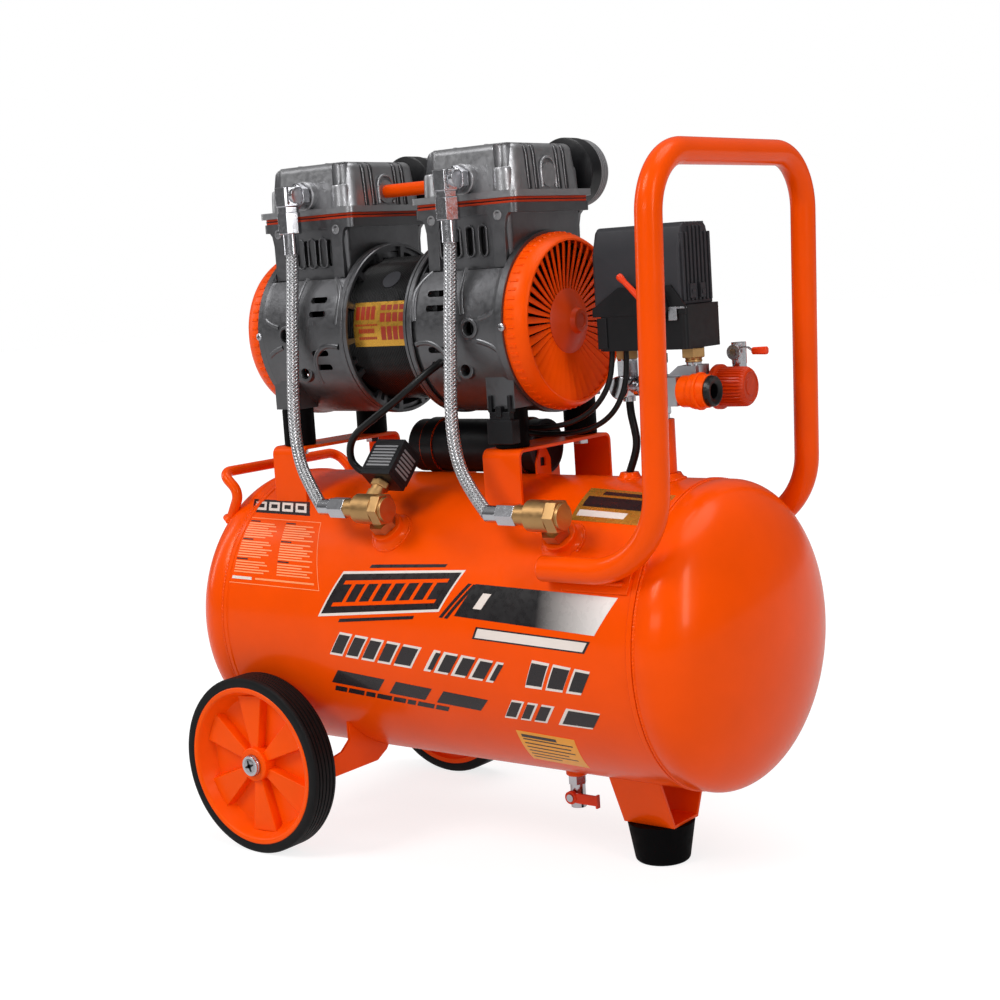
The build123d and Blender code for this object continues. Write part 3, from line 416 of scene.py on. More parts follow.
def piece(name, shape, look, body="frame", stands_for=(), bevel=0, segments=2, angle=35):
    """Makes the object: bevelled, smooth, with its look's material, riding on its body."""
    mesh = bpy.data.meshes.new(name)
    mesh.from_pydata([p * MM for p in shape.points], [], shape.faces)
    work = bmesh.new()
    work.from_mesh(mesh)
    bmesh.ops.remove_doubles(work, verts=work.verts, dist=0.000002)
    bmesh.ops.recalc_face_normals(work, faces=work.faces)
    work.to_mesh(mesh)
    work.free()
    mesh.polygons.foreach_set("use_smooth", [True] * len(mesh.polygons))
    thing = bpy.data.objects.new(name, mesh)
    bpy.context.scene.collection.objects.link(thing)
    mesh.materials.append(MATS[look])
    if bevel:
        modifier = thing.modifiers.new("edges", "BEVEL")
        modifier.width, modifier.segments = bevel * MM, segments
        modifier.limit_method, modifier.angle_limit = "ANGLE", radians(angle)
        thing.modifiers.new("even", "WEIGHTED_NORMAL").weight = 80
    else:
        mesh.set_sharp_from_angle(angle=radians(angle))
    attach(thing, body)
    if stands_for:
        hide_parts(*stands_for)
    return thing


# --- cords
def spline(name, route, bevel=0):
    """A NURBS curve with the route's points, given in mm, as its control points."""
    data = bpy.data.curves.new(name, "CURVE")
    data.dimensions = "3D"
    data.resolution_u = 12
    line = data.splines.new("NURBS")
    line.points.add(len(route) - 1)
    for point, place in zip(line.points, route):
        point.co = (*(Vector(place) * MM), 1)
    line.order_u = 3
    line.use_endpoint_u = True
    data.bevel_depth, data.bevel_resolution = bevel * MM, 5
    data.use_fill_caps = bool(bevel)
    thing = bpy.data.objects.new(name, data)
    bpy.context.scene.collection.objects.link(thing)
    return thing


def line_of(route):
    """The NURBS spline's own line, in mm."""
    thing = spline("route", route)
    mesh = bpy.data.meshes.new_from_object(thing)
    line = [v.co / MM for v in mesh.vertices]
    bpy.data.objects.remove(thing)
    return line


def evenly(line, step):
    """The same line with points a fixed step apart."""
    result, left = [line[0]], step
    for a, b in zip(line, line[1:]):
        length = (b - a).length
        while left < length:
            result.append(a.lerp(b, left / length))
            left += step
        left -= length
    return result + [line[-1]]


def length_of(line):
    return sum((b - a).length for a, b in zip(line, line[1:]))


def radial(x, out, angle=VALVE_ANGLE):
    return Vector((x, -out * sin(angle), TANK_Z + out * cos(angle)))


HOSE_BEND = [(2, -80, 550.6), (2, -82.5, 522), (2, -87, 490), (2, -90, 455), (1, -93, 417),
             (4, -97, 384), (15, -104, 358), (38, -114, 336)]
HOSE_R = 5.9
CORE_R = 5.1
STRANDS = 9                # each way round
BRAID_PITCH = 30.0
BRAID_STEP = 0.6


def braided_hose(name, stack_x, valve_x):
    """A rubber core under a woven steel braid, along the hose's own spline."""
    route = [(stack_x + x, y, z) for x, y, z in HOSE_BEND] + [tuple(radial(valve_x - 58, VALVE_OUT))]
    line = evenly(line_of(route), BRAID_STEP)
    core = piece(name + "_core", Shape().tube(line, CORE_R, 20), "core")
    shape, count = Shape(), len(line)
    half, weave, edge_drop = 0.66 * pi / STRANDS, 0.22, 0.42
    faces = [[row + i, row + i + 1, row + count + i + 1, row + count + i]
             for i in range(count - 1) for row in (0, count)]
    for way in (1, -1):
        for start in turns(STRANDS):
            left, crown, right = [], [], []
            for point, across, other, along in frames_along(line):
                turn = start + 2 * pi * way * along / BRAID_PITCH
                lift = way * weave * cos(2 * pi * STRANDS * along / BRAID_PITCH)
                for store, offset, drop in ((left, -half, edge_drop), (crown, 0, 0),
                                            (right, half, edge_drop)):
                    out, _ = spoke(turn + offset, across, other)
                    store.append(point + out * (HOSE_R - 0.25 + lift - drop))
            shape.add(left + crown + right, faces)
    thing = piece(name, shape, "braid", stands_for=[name])


braided_hose("hose_left", PUMP_X - STACK, VALVE_XS[0])
braided_hose("hose_right", PUMP_X + STACK, VALVE_XS[1])

# Each cable's radius and route
CABLES = {
    "switch_wire_near": (2.4, [(153.5, -20, 450.6), (153, -20.5, 437), (149, -23, 419), (137, -27, 402),
                               (117, -30, 391), (92, -31, 386.5), (66, -30, 386), (45, -28, 388),
                               (30, -26, 393), (22, -25, 402.5)]),
    "switch_wire_far": (2.4, [(165, -16, 450.6), (165, -16.5, 435), (162, -18, 416), (152, -20, 398),
                              (134, -21, 386), (110, -21, 380.5), (84, -20, 379), (60, -19, 380),
                              (42, -18, 384), (32, -16.5, 392), (29, -15.5, 401)]),
    "solenoid_cable": (3.4, [(9, -71.5, 448.5), (4, -81, 442.5), (-6, -89, 433), (-20, -95, 421),
                             (-38, -98.5, 409), (-57, -99.5, 398), (-74, -98.5, 388), (-84, -96.5, 377),
                             (-87, -93.5, 363.6), (-82.4, -90.5, 355.8), (-74.6, -88.6, 351.2),
                             (-62.2, -87.9, 351.2)]),
    "unloader_hose": (3.4, [(155.3, 0, 406), (155.6, 0, 396), (158, 0.5, 384), (160, 1, 371),
                            (157, 1, 358), (151.3, 0, 344.6)]),
}


def make_cables():
    for name, (radius, route) in CABLES.items():
        cable = spline(name + "_line", route, radius)
        cable.data.materials.append(MATS["cable"])
        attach(cable, "frame")
        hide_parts(name)
        length_of(line_of(route)) * MM


make_cables()


# --- light and floor
def add_light(name, kind, at, aim, power, **settings):
    data = bpy.data.lights.new(name, kind)
    data.energy = power
    for key, value in settings.items():
        setattr(data, key, value)
    light = bpy.data.objects.new(name, data)
    at, aim = Vector(at), Vector(aim)
    light.matrix_world = Matrix.Translation(at) @ (aim - at).to_track_quat("-Z", "Y").to_matrix().to_4x4()
    bpy.context.scene.collection.objects.link(light)


def make_lights():
    for name, shining, power, spread in (("sun_key", (0.45, 1, -1.1), 1.45, 24),
                                         ("sun_top", (-0.3, -0.25, -1.4), 1.2, 40)):
        add_light(name, "SUN", (0, 0, 0), shining, power, angle=radians(spread))
    for name, at, width, height, power in (("side", (2.2, -0.9, 1.3), 0.35, 1.5, 19),
                                           ("front", (0.2, -2.3, 1), 1.3, 0.35, 8),
                                           ("left", (-2.2, -0.6, 1.2), 0.3, 1.5, 8)):
        add_light(name, "AREA", at, (0, 0, 0.3), power, shape="RECTANGLE", size=width, size_y=height)


def make_world():
    """White to the camera, and softer as light, more from above than from below."""
    world = bpy.data.worlds.new("studio")
    world.use_nodes = True
    nodes, links = world.node_tree.nodes, world.node_tree.links
    seen = nodes["Background"]
    seen.inputs["Color"].default_value, seen.inputs["Strength"].default_value = (1, 1, 1, 1), 1.0
    coords, split, gradient, soft, path, both = (nodes.new("ShaderNode" + kind) for kind in (
        "TexCoord", "SeparateXYZ", "MapRange", "Background", "LightPath", "MixShader"))
    for socket, value in (("From Min", -0.1), ("From Max", 1), ("To Min", 0.10), ("To Max", 0.42)):
        gradient.inputs[socket].default_value = value
    for source, target in ((coords.outputs["Generated"], split.inputs["Vector"]),
                           (split.outputs["Z"], gradient.inputs["Value"]),
                           (gradient.outputs["Result"], soft.inputs["Strength"]),
                           (path.outputs["Is Camera Ray"], both.inputs["Fac"]),
                           (soft.outputs["Background"], both.inputs[1]),
                           (seen.outputs["Background"], both.inputs[2]),
                           (both.outputs["Shader"], nodes["World Output"].inputs["Surface"])):
        links.new(source, target)
    bpy.context.scene.world = world
    bpy.context.scene.view_settings.view_transform = "Standard"


def make_floor():
    """A floor that glows more to the camera than it does as light."""
    reach = 14.0
    mesh = bpy.data.meshes.new("floor")
    mesh.from_pydata([(-reach, -reach, 0), (reach, -reach, 0), (reach, reach, 0), (-reach, reach, 0)],
                     [], [(0, 1, 2, 3)])
    floor = bpy.data.objects.new("floor", mesh)
    cloth = finish_material("floor", srgb(150, 150, 150), 0.8, vary=0.01, lumps=0.6, grain=30, gloss=0.1)
    nodes, links = cloth.node_tree.nodes, cloth.node_tree.links
    path, glow = nodes.new("ShaderNodeLightPath"), nodes.new("ShaderNodeMapRange")
    glow.inputs["To Min"].default_value, glow.inputs["To Max"].default_value = 0.36, 0.8
    shader = nodes["Principled BSDF"].inputs
    shader["Emission Color"].default_value = (1, 1, 1, 1)
    links.new(path.outputs["Is Camera Ray"], glow.inputs["Value"])
    links.new(glow.outputs["Result"], shader["Emission Strength"])
    mesh.materials.append(cloth)
    bpy.context.scene.collection.objects.link(floor)


make_world()
make_lights()
make_floor()


# --- CAD nodes with finished edges
def refine(node, look, bevel, body="frame"):
    """A copy of a CAD node in its place, with clean faces and softly rounded edges."""
    work = bmesh.new()
    work.from_mesh(NODES[node].data)
    bmesh.ops.remove_doubles(work, verts=work.verts, dist=0.000004)
    bmesh.ops.dissolve_limit(work, angle_limit=radians(0.4), verts=work.verts, edges=work.edges)
    work.verts.index_update()
    shape = Shape().add([v.co / MM for v in work.verts], [[v.index for v in f.verts] for f in work.faces])
    work.free()
    piece(node + "_finished", shape, look, body, [node], bevel, angle=28)


def refine_all():
    for look, (bevel, names) in REFINED.items():
        for name in names:
            refine(name, look, bevel)
    refine("drain_lever", "lever_red", 0.5, "drain_lever")


refine_all()


# --- tank
BEAD_SIDES = 10


def on_tank(x, lean, out=0):
    """A point on the tank's side: lean in degrees from the top towards the front."""
    return radial(x, TANK_R + out, radians(lean))


def weld_ring(shape, place, size, ripples):
    """A rippled bead round a closed loop; place gives the point, its normal and the way along."""
    rings = []
    for i, angle in enumerate(turns(ripples * 4)):
        point, normal, along = place(angle)
        side = normal.cross(along).normalized()
        rings.append(circle(point, normal, side, size * (1 + 0.14 * cos(pi / 2 * i)), BEAD_SIDES))
    return shape.rings(rings, closed=True)


def make_tank():
    r, sides, steps = TANK_R, 224, 40
    centre = Vector((0, 0, TANK_Z))
    bead = [(0, r + 0.5), (0.5, r + 0.9), (4.2, r + 0.9), (5.2, r)]
    profile = [(-SEAM_X, r - WALL)] + [(-SEAM_X + a, b) for a, b in bead]
    profile += [(SEAM_X - a, b) for a, b in reversed(bead)] + [(SEAM_X, r - WALL)]
    barrel = Shape().hoop(profile, centre, X, sides)
    piece("tank_barrel_skin", barrel, "paint", stands_for=["tank_barrel"])
    knee, depth = SEAM_X + SKIRT, TANK_END - SEAM_X - SKIRT
    bow = [pi / 2 * i / steps for i in range(steps + 1)]
    outer = [(knee + depth * sin(a), r * cos(a)) for a in bow]
    inner = [(knee + (depth - WALL) * sin(a), (r - WALL) * cos(a)) for a in reversed(bow)]
    skirt = [(SEAM_X + 0.2, r - 0.8), (SEAM_X + 1.2, r - 0.1)]
    profile = skirt + outer + inner + [(SEAM_X + 0.2, r - WALL)]
    for name, way in SIDES:
        dome = Shape().hoop(profile, centre, X * way, sides)
        piece("tank_head_skin_" + name, dome, "paint", stands_for=["tank_head_" + name])

        def seam(angle):
            out, along = spoke(angle, Y, Z)
            return centre + X * way * (SEAM_X + 1.6) + out * (r - 0.9), out, along
        piece("seam_weld_" + name, weld_ring(Shape(), seam, 1.5, 260), "paint")


# Each boss: x, lean, radius, height, bore and how far its foot flares
BOSSES = ((VALVE_XS[0], 46, 15, 10, 9, 4), (VALVE_XS[1], 46, 15, 10, 9, 4), (187, 0, 14, 5, 8, 3),
          (151, 0, 8, 5, 4, 2), (75.6, 180, 10, 10, 6, 3))
PAD_X = (158, 222)
PAD_LEANS = (50.4, 65.2)   # edges of the push handle's pads
PAD_WELD_LEANS = (56.8, 61.9)
PAD_THICK = 2.0


def make_bosses(bosses, welds):
    for x, lean, radius, height, bore, flare in BOSSES:
        base, foot_r = on_tank(x, lean), radius + flare
        away = (on_tank(x, lean, 1) - base).normalized()
        across = away.cross(X).normalized()
        bosses.hoop([(-6, foot_r), (0.5, foot_r), (1.5, radius + flare * 0.75), (3.5, radius + 0.6),
                     (5, radius), (height - 0.8, radius), (height, radius - 0.8), (height, bore),
                     (-6, bore)], base, away, 72)

        def foot(angle):
            out, along = spoke(angle, X, across)
            rise = sqrt(TANK_R ** 2 - (foot_r * sin(angle)) ** 2)
            point = Vector((x, 0, TANK_Z)) + out * foot_r + away * rise
            return point, (out + away * 0.6).normalized(), along
        weld_ring(welds, foot, 1.5 if radius > 9 else 1, 40)


def make_pads(pads, welds):
    """The curved pads under the push handle's feet, and two welds along each."""
    low, high = PAD_LEANS
    last = 116
    for way in (1, -1):
        def at(x, lean, out):
            point = on_tank(x, lean, out)
            return Vector((point.x, way * point.y, point.z))
        corners = ((PAD_X[0], -0.5), (PAD_X[1], -0.5), (PAD_X[1], PAD_THICK), (PAD_X[0], PAD_THICK))
        pads.rings([[at(x, low + (high - low) * i / 12, out) for x, out in corners] for i in range(13)])
        for lean in PAD_WELD_LEANS:
            line = [at(PAD_X[0] + 2 + i / 2, lean, PAD_THICK + 1.2) for i in range(last + 1)]
            rings = []
            for i, (point, across, other, _) in enumerate(frames_along(line)):
                size = 1.9 * (1 + 0.12 * cos(i * pi / 2)) * (0.4 if i in (0, last) else 1)
                rings.append(circle(point, across, other, size, BEAD_SIDES))
            welds.rings(rings)


def make_weldments():
    bosses, pads, welds = Shape(), Shape(), Shape()
    make_bosses(bosses, welds)
    make_pads(pads, welds)
    piece("weld_bosses", bosses, "paint", stands_for=["tank_weldments"])
    piece("handle_pads", pads, "paint", bevel=0.5)
    piece("weld_beads", welds, "paint")


make_tank()
make_weldments()


# --- handles
def make_handles():
    handle_r, lean = 10.8, 9.8
    start_x, end_x = span("push_handle", 0)
    low_z, high_z = span("push_handle", 2)
    y, leg_x = span("push_handle", 1)[1] - handle_r, end_x - handle_r - lean
    side = [(start_x, low_z + handle_r), (leg_x, low_z + handle_r), (leg_x + lean, high_z - handle_r)]
    points = [(x, -y, z) for x, z in side] + [(x, y, z) for x, z in reversed(side)]
    line = rounded(points, [66, 48, 48, 66], 24)
    shape = Shape().tube(line, handle_r, 48)
    cap = [(0, 0.02), (1.6, 0.5), (3, 2.2), (3.6, 5), (3.8, handle_r)]
    for end, before in ((line[0], line[1]), (line[-1], line[-2])):
        shape.lathe([(along, handle_r - less) for along, less in cap], end, end - before, 48)
    piece("push_handle_tube", shape, "paint", stands_for=["push_handle"], angle=50)

    loop = [(-264, 80, 298), (-246, 82, 328), (-268, 82, 347)]
    points = [(x, -y, z) for x, y, z in loop] + list(reversed(loop))
    grip = Shape().tube(rounded(points, [12, 12, 12, 12], 12), 5, 32)
    piece("lift_handle_rod", grip, "paint", stands_for=["lift_handle"], angle=50)
    blobs = Shape()
    for way in (-1, 1):
        blobs.lathe([(-1.5, 4), (0.5, 8.2), (2, 7.8), (4.5, 5)], (-262.5, way * 80.1, 300.6),
                    (18, 2 * way, 30), 32)
    piece("lift_handle_welds", blobs, "paint")


make_handles()


# --- wheels
def make_wheel(name, way):
    """way is -1 at the front and 1 at the rear; profiles run inwards from the wheel's face."""
    tyre, rim, body = "tyre_" + name, "rim_" + name, "wheel_" + name
    face, radius = span(tyre, 1)[way > 0], radius_of(tyre, 2)
    width, rim_r, sides = 28.5, 74.6, 160
    centre, inward = Vector((middle(tyre, 0), face, middle(tyre, 2))), Y * -way
    profile = [(0.4, rim_r), (0, rim_r + 1), (0.25, rim_r + 4), (0, radius - 2.6), (0.8, radius - 0.9),
               (2.6, radius)]
    for groove in (5, 9, 13.6, 18.2, 22.6):
        profile += [(groove, radius), (groove + 0.35, radius - 1.3), (groove + 1.1, radius - 1.3),
                    (groove + 1.45, radius)]
    profile += [(width - 2.6, radius), (width - 0.8, radius - 0.9), (width, radius - 2.6),
                (width, rim_r + 1), (width - 0.4, rim_r)]
    piece(tyre + "_rubber", Shape().hoop(profile, centre, inward, sides), "tyre", body, [tyre])
    dish = [(0.6, rim_r), (0, rim_r - 0.8), (0, 70.6), (0.5, 69.8), (3, 68.6), (15.5, 63),
            (17.5, 61.5), (18, 59.5), (18, 15), (21, 15), (21, 64), (24, 68.5), (28, 70),
            (28, rim_r)]
    piece(rim + "_dish", Shape().hoop(dish, centre, inward, sides), "orange_plastic", body, [rim])
    spokes = Shape()
    for turn in turns(6, radians(33)):
        out, across = spoke(turn, X, Z)
        rows = [(12, 3.8, 8.6), (12, -3.8, 8.6), (64.5, -15, 9.8), (64.5, 15, 9.8)]
        spokes.rings([[centre + out * r + across * half + inward * depth for r, half, depth in rows],
                      [centre + out * r + across * half * 1.12 + inward * 18.5 for r, half, _ in rows]])
    piece(rim + "_spokes", spokes, "orange_plastic", body, bevel=0.9)
    hub = Shape().hoop([(4.5, 9.8), (4.5, 15), (5.5, 16), (36, 16), (36, 6.1), (6.5, 6.1),
                        (6.5, 9.8)], centre, inward, 72)
    piece(rim + "_hub", hub, "orange_plastic", body, bevel=0.3)
    head = Shape().lathe([(-0.6, 0), (-0.5, 4), (0, 7), (1.2, 9.2), (2.6, 10), (4.2, 10),
                          (4.2, 0)], centre, inward, 64)
    piece("wheel_bolt_" + name, head, "steel")
    # A black cross on the bolt head: painted shade standing for its recess.
    cross = Shape()
    for turn in (20, 110):
        out, across = spoke(radians(turn), X, Z)
        half = [(-5.4, -0.5), (-1.8, -1.5), (1.8, -1.5), (5.4, -0.5)]
        cross.push([centre + out * u + across * v - inward * 0.75
                    for u, v in half + [(-u, -v) for u, v in half]], inward * 1.5)
    piece("wheel_bolt_slot_shade_" + name, cross, "black_steel")


make_wheel("front", -1)
make_wheel("rear", 1)

# --- pump
def on_case(x, lean, out=0):
    """A point on a crankcase's barrel: lean in degrees from the top towards the front."""
    a, r = radians(lean), CASE_R + out
    return Vector((x, -r * sin(a), PUMP_Z + r * cos(a)))


# Half the cast ribs of a case: (x from its middle, lean) along each; the others mirror them
CASE_RIBS = [
    [(46, 47), (48, 60), (47, 74), (38, 82), (25, 84)],
    [(22, 98), (33, 100), (45, 106), (46, 118), (40, 134)],
    [(-36, 50), (-48, 60), (-49, 74), (-47, 84)],
    [(-47, 99), (-36, 97), (-21, 101), (-13, 110), (-12, 126)],
    [(1, 49), (2, 60), (4, 72), (7, 81)],
]


def rectangle(half_u, half_v):
    """The corners of a rectangle centred at (0, 0), in order round it."""
    return ((-half_u, -half_v), (half_u, -half_v), (half_u, half_v), (-half_u, half_v))


def make_case_details():
    """Cast ribs, bolt collars, screws, and dark sheets of painted shade that close the sight through the
    slots.
    """
    ribs, rings, screws, slots, shade_sheets = (Shape() for _ in range(5))
    for stack, way in STACKS:
        for route in CASE_RIBS:
            flat = line_of([(stack + way * dx, lean, 0) for dx, lean in route])
            for mirror in (1, -1):
                ribs.tube([on_case(p.x, mirror * p.y, -1.7) for p in flat], 2.9, 16)
        for dx, dz, radius in ((15, 0, 6), (2, -36, 5)):
            y = -sqrt(CASE_R ** 2 - dz ** 2)
            rings.hoop([(-3, radius), (-3, radius + 3.6), (1.4, radius + 3), (2, radius + 2.2),
                        (2, radius + 0.4), (1.4, radius)], (stack + way * dx, y, PUMP_Z + dz), -Y, 48)
        for lean in (90, 210, 330):
            spot, away = on_case(stack + way * 50, lean), on_case(0, lean, 1) - on_case(0, lean)
            screws.lathe([(-1, 3.4), (1.6, 3.4), (2.4, 2.4), (2.6, 0.6)], spot, away, 32)
            across = away.cross(X).normalized()
            # A black cross on each screw head: painted shade standing for its recess.
            for first, second in ((X, across), (across, X)):
                slots.push([spot + away * 2.2 + first * u + second * v for u, v in rectangle(1.8, 0.3)],
                           away * 0.45)
        rings.hoop([(0, CASE_R - 0.5), (0.6, CASE_R + 1.6), (6.2, CASE_R + 1.6), (6.8, CASE_R - 0.5)],
                   PUMP + X * way * 137, X * way, 160)
        # Dark sheets inside the case and behind the gaps: painted shade where the slots look in.
        inner, outer = way * 108, way * 136
        shade_sheets.hoop([(inner, 68.4), (outer, 68.4), (outer, 69), (inner, 69)], PUMP, X)
        shade_sheets.box((stack - 31, stack + 24), (51.2, 52.2), (536, 565))
        for low, high in ((44.6, 47.1), (-47.1, -44.6)):
            shade_sheets.box((stack + low, stack + high), (-52, 52), (522, 532))
    piece("case_shade_sheets", shade_sheets, "black_steel")
    piece("case_ribs", ribs, "cast")
    piece("case_rings", rings, "cast")
    piece("case_screws", screws, "steel")
    piece("case_screw_slot_shade", slots, "black_steel")


def make_block_details():
    """Pillars, bolt dimples and raised rims round the slots of each cylinder block."""
    top = span("cylinder_right", 2)[1]
    pillar = [(-6.2, 527), (6.2, 527), (6.6, 560), (8.5, 569), (13, 574), (-13, 574), (-8.5, 569),
              (-6.6, 560)]
    slot_r, slot_half, slot_z = 4.4, 9.1, 550.5
    pillars, dimples = Shape(), Shape()
    for stack, _ in STACKS:
        for x in (stack - 36.5, stack + 36.5):
            for face in (-1, 1):
                pillars.push([Vector((x + u, face * 51, v)) for u, v in pillar], Y * face * 5.2)
                dimples.lathe([(-1, 4.4), (2.7, 4.4), (3.2, 3.9), (3.2, 3), (2.4, 2.6), (2.4, 0)],
                              (x, face * 54, top - 9.5), Y * face, 36)
        for face in (-1, 1):
            for dx in (-25.2, -10.8, 3.6, 18):
                loop = [Vector((stack + dx + slot_r * cos(a), face * 55,
                                slot_z + slot_r * sin(a) + (slot_half if sin(a) > 0 else -slot_half)))
                        for a in turns(32) + [2 * pi]]
                pillars.tube(loop, 0.9, 8, caps=False)
    piece("block_pillars", pillars, "cast", bevel=0.8)
    # The dimples take the painted-lit copy of the casting.
    piece("block_dimples", dimples, "cast_painted_lit")


def make_motor():
    half, radius, plates = 44, 66, 44
    profile = [(-half, 40)]
    for i in range(plates):
        x = -half + 2 * half * i / plates
        profile += [(x, radius - 0.55), (x + 0.5, radius), (x + 1.4, radius), (x + 1.9, radius - 0.55)]
    profile += [(half, 40)]
    piece("stator_laminations", Shape().hoop(profile, PUMP, X, 128), "black_steel", stands_for=["stator"])


# A vane's sections from the hub outwards: radius, height, half width and lean
VANE = ((25.5, 157.6, 1.25, 0.6), (35, 158.9, 1.75, 1.2), (55, 162.2, 2.75, 2.4),
        (66, 163.9, 3.2, 3), (71.5, 163.6, 3.4, 3.2))
VANE_THICK = 1.5


def make_fan_covers():
    """A toothed rim and tilted vanes at each end of the pump."""
    for name, way in SIDES:
        axis = X * way
        cover = Shape().hoop([(144, 74.6), (144, 76.9), (151.8, 76.9), (158, 75.6), (161.2, 74),
                              (163.6, 72.6), (164.8, 71), (164.8, 69.6), (160.4, 69.6), (158.6, 72),
                              (152, 74.6)], PUMP, axis, 144)

        def at(angle, u, r, v):
            out, across = spoke(angle, Y, Z)
            return PUMP + axis * u + out * r + across * v
        for a in turns(60):
            cover.rings([[at(a, u, r, v) for u, r, v in ((u0, r0, -half), (u1, r1, -half),
                                                         (u1, r1, half), (u0, r0, half))]
                         for u0, r0, u1, r1, half in ((146.5, 76, 156, 75.2, 1.6),
                                                      (147.3, 77.7, 153.5, 77.6, 1.1))])
        for a in turns(45):
            cover.rings([[at(a, top + u, r, v) for u, v in (
                (-lean, -half), (0, half), (-VANE_THICK, half), (-lean - VANE_THICK, -half))]
                for r, top, half, lean in VANE])
        piece("fan_cover_vanes_" + name, cover, "orange_plastic", stands_for=["fan_cover_" + name])


def make_head_details():
    """Corner and port collars, raised panels and strips, and fins and an arch at each end."""
    collars = Shape()
    top = span("head_right", 2)[1]
    for stack, _ in STACKS:
        collars.hoop([(0, 13.6), (2, 13.6), (2.8, 12.8), (2.8, 9.2), (0, 9.2)],
                     (stack + HEAD_PORT[0], -57.5, HEAD_PORT[1]), -Y, 48)
        for x, y in ((-38, -46), (-38, 46), (38, -46), (38, 46)):
            collars.hoop([(0, 9.9), (15, 9.3), (18.5, 8.9), (20, 8), (20, 6.9), (17, 6.4),
                          (0, 6.4)], (stack + x, y, 591.1), Z, 48)
        for middle_x, half_x, y, rise in ((0, 40, (-43, 43), 0.3), (0, 26, (-31.6, -30.4), 0.8),
                                          (0, 26, (30.4, 31.6), 0.8), (-17, 0.9, (-42, 42), 0.9),
                                          (17, 0.9, (-42, 42), 0.9)):
            x = stack + middle_x
            collars.box((x - half_x, x + half_x), y, (top - 1, top + rise))
        for side in (-1, 1):
            for y in (-27.5, -17, 17, 27.5):
                fin = ((41, 592), (51.3, 592), (49.6, 622), (47.5, 629), (41, 630))
                collars.push([Vector((stack + side * x, y - 0.8, z)) for x, z in fin], Y * 1.6)
            arch = [Vector((stack + side * 51.6, 10.2 * cos(a), 609 + 10.2 * sin(a)))
                    for a in turns(32)[:17]]
            feet = [Vector((stack + side * 52.6, y, 593)) for y in (10.2, -10.2)]
            collars.tube(feet[:1] + arch + feet[1:], 1.3, 10)
    # The collars take the painted-lit copy of the casting.
    piece("head_collars", collars, "cast_painted_lit", bevel=0.4)


def rounded_square(x, half_x, half_y, radius, z):
    """Points round a level rectangle with rounded corners, centred on y = 0."""
    ring = []
    for corner, (way_x, way_y) in enumerate(((1, 1), (-1, 1), (-1, -1), (1, -1))):
        for a in (pi / 2 * (corner + i / 8) for i in range(9)):
            ring.append(Vector((x + way_x * (half_x - radius) + radius * cos(a),
                                way_y * (half_y - radius) + radius * sin(a), z)))
    return ring


def make_gasket_lines():
    lines, z = Shape(), middle("head_gaskets", 2)
    for stack, _ in STACKS:
        lines.rings([rounded_square(stack, 55 + out, 55.5 + out, 6, z + up)
                     for out, up in ((-0.5, -0.5), (0.25, -0.45), (0.25, 0.45), (-0.5, 0.5))])
    piece("gasket_lines", lines, "black_steel")


def make_case_lips():
    """Flanges, with blocks between them, where each case meets the motor."""
    lips = Shape()
    for way in (1, -1):
        end, axis = PUMP + X * way * 37.5, X * way
        lips.hoop([(0, 79), (0, 76), (-3.5, 76), (-3.5, 78.2), (-2.6, 79)], end, axis, 160)
        for a in turns(14, radians(6)):
            out, across = spoke(a, Y, Z)
            lips.push([end + out * r + across * v - axis * 3.4
                       for r, v in ((66.4, -2.2), (77, -2.8), (77, 2.8), (66.4, 2.2))], axis * 3.2)
        lips.hoop([(0.8, 78.2), (1.4, 79.3), (5.6, 79.3), (6.2, 78.2)], end, axis, 160)
    piece("case_lips", lips, "cast")


def make_fan_hubs():
    for name, way in SIDES:
        hub = Shape().lathe([(156, 0), (156, 27.4), (158, 28.4), (158.9, 27.2), (163.2, 19),
                             (166.7, 11.6), (171, 10), (171.4, 9.2), (171.4, 6.4), (170.5, 6),
                             (170.5, 0)], PUMP, X * way, 72)
        piece("fan_hub_" + name, hub, "hub_plastic")


def make_elbows():
    """Hexagonal elbows and nuts where each hose meets its head."""
    elbows, y, z = Shape(), -80, HEAD_PORT[1]
    for stack, _ in STACKS:
        x = stack + HEAD_PORT[0]
        elbows.hexagon((x, -61.5, z), (x, -70.5, z), 21)
        elbows.lathe([(0, 9.2), (0.8, 9.8), (6, 9.8), (12.5, 9)], (x, -70, z), -Y, 40)
        elbows.hexagon((x, y, 593.5), (x, y, 612), 20, 1.4)
        elbows.hexagon((x, y, 569), (x, y, 589), 19, 1.2)
        elbows.lathe([(0, 7.4), (0.6, 8), (4.4, 8), (5, 7.4)], (x, y, 588.8), Z, 40)
    piece("hose_elbows", elbows, "chrome", bevel=0.35)


make_gasket_lines()
make_case_details()
make_block_details()
make_motor()
make_fan_covers()
make_head_details()


# --- printed films and labels
def film(shape, corners, cell=(0, 0, 1, 1), radius=TANK_R, axis=TANK_Z, out=0.25, slant=0):
    """A thin closed patch on a barrel; corners are (x, lean), and cell is its share of them."""
    (xa, ta), (xb, tb), (xc, tc), (xd, td) = corners
    u0, v0, u1, v1 = cell
    wide, deep = max(2, int((u1 - u0) * abs(xb - xa) / 4)), max(2, int((v1 - v0) * abs(td - ta) / 2.5))
    rings = []
    for j in range(deep + 1):
        v = v0 + (v1 - v0) * j / deep
        front, back = [], []
        for i in range(wide + 1):
            u = u0 + (u1 - u0) * i / wide + slant * (v - v0)
            x = (xa + (xb - xa) * u) * (1 - v) + (xd + (xc - xd) * u) * v
            lean = radians((ta + (tb - ta) * u) * (1 - v) + (td + (tc - td) * u) * v)
            for line, r in ((front, radius + out), (back, radius - 0.3)):
                line.append(Vector((x, -r * sin(lean), axis + r * cos(lean))))
        rings.append(front + back[::-1])
    return shape.rings(rings)


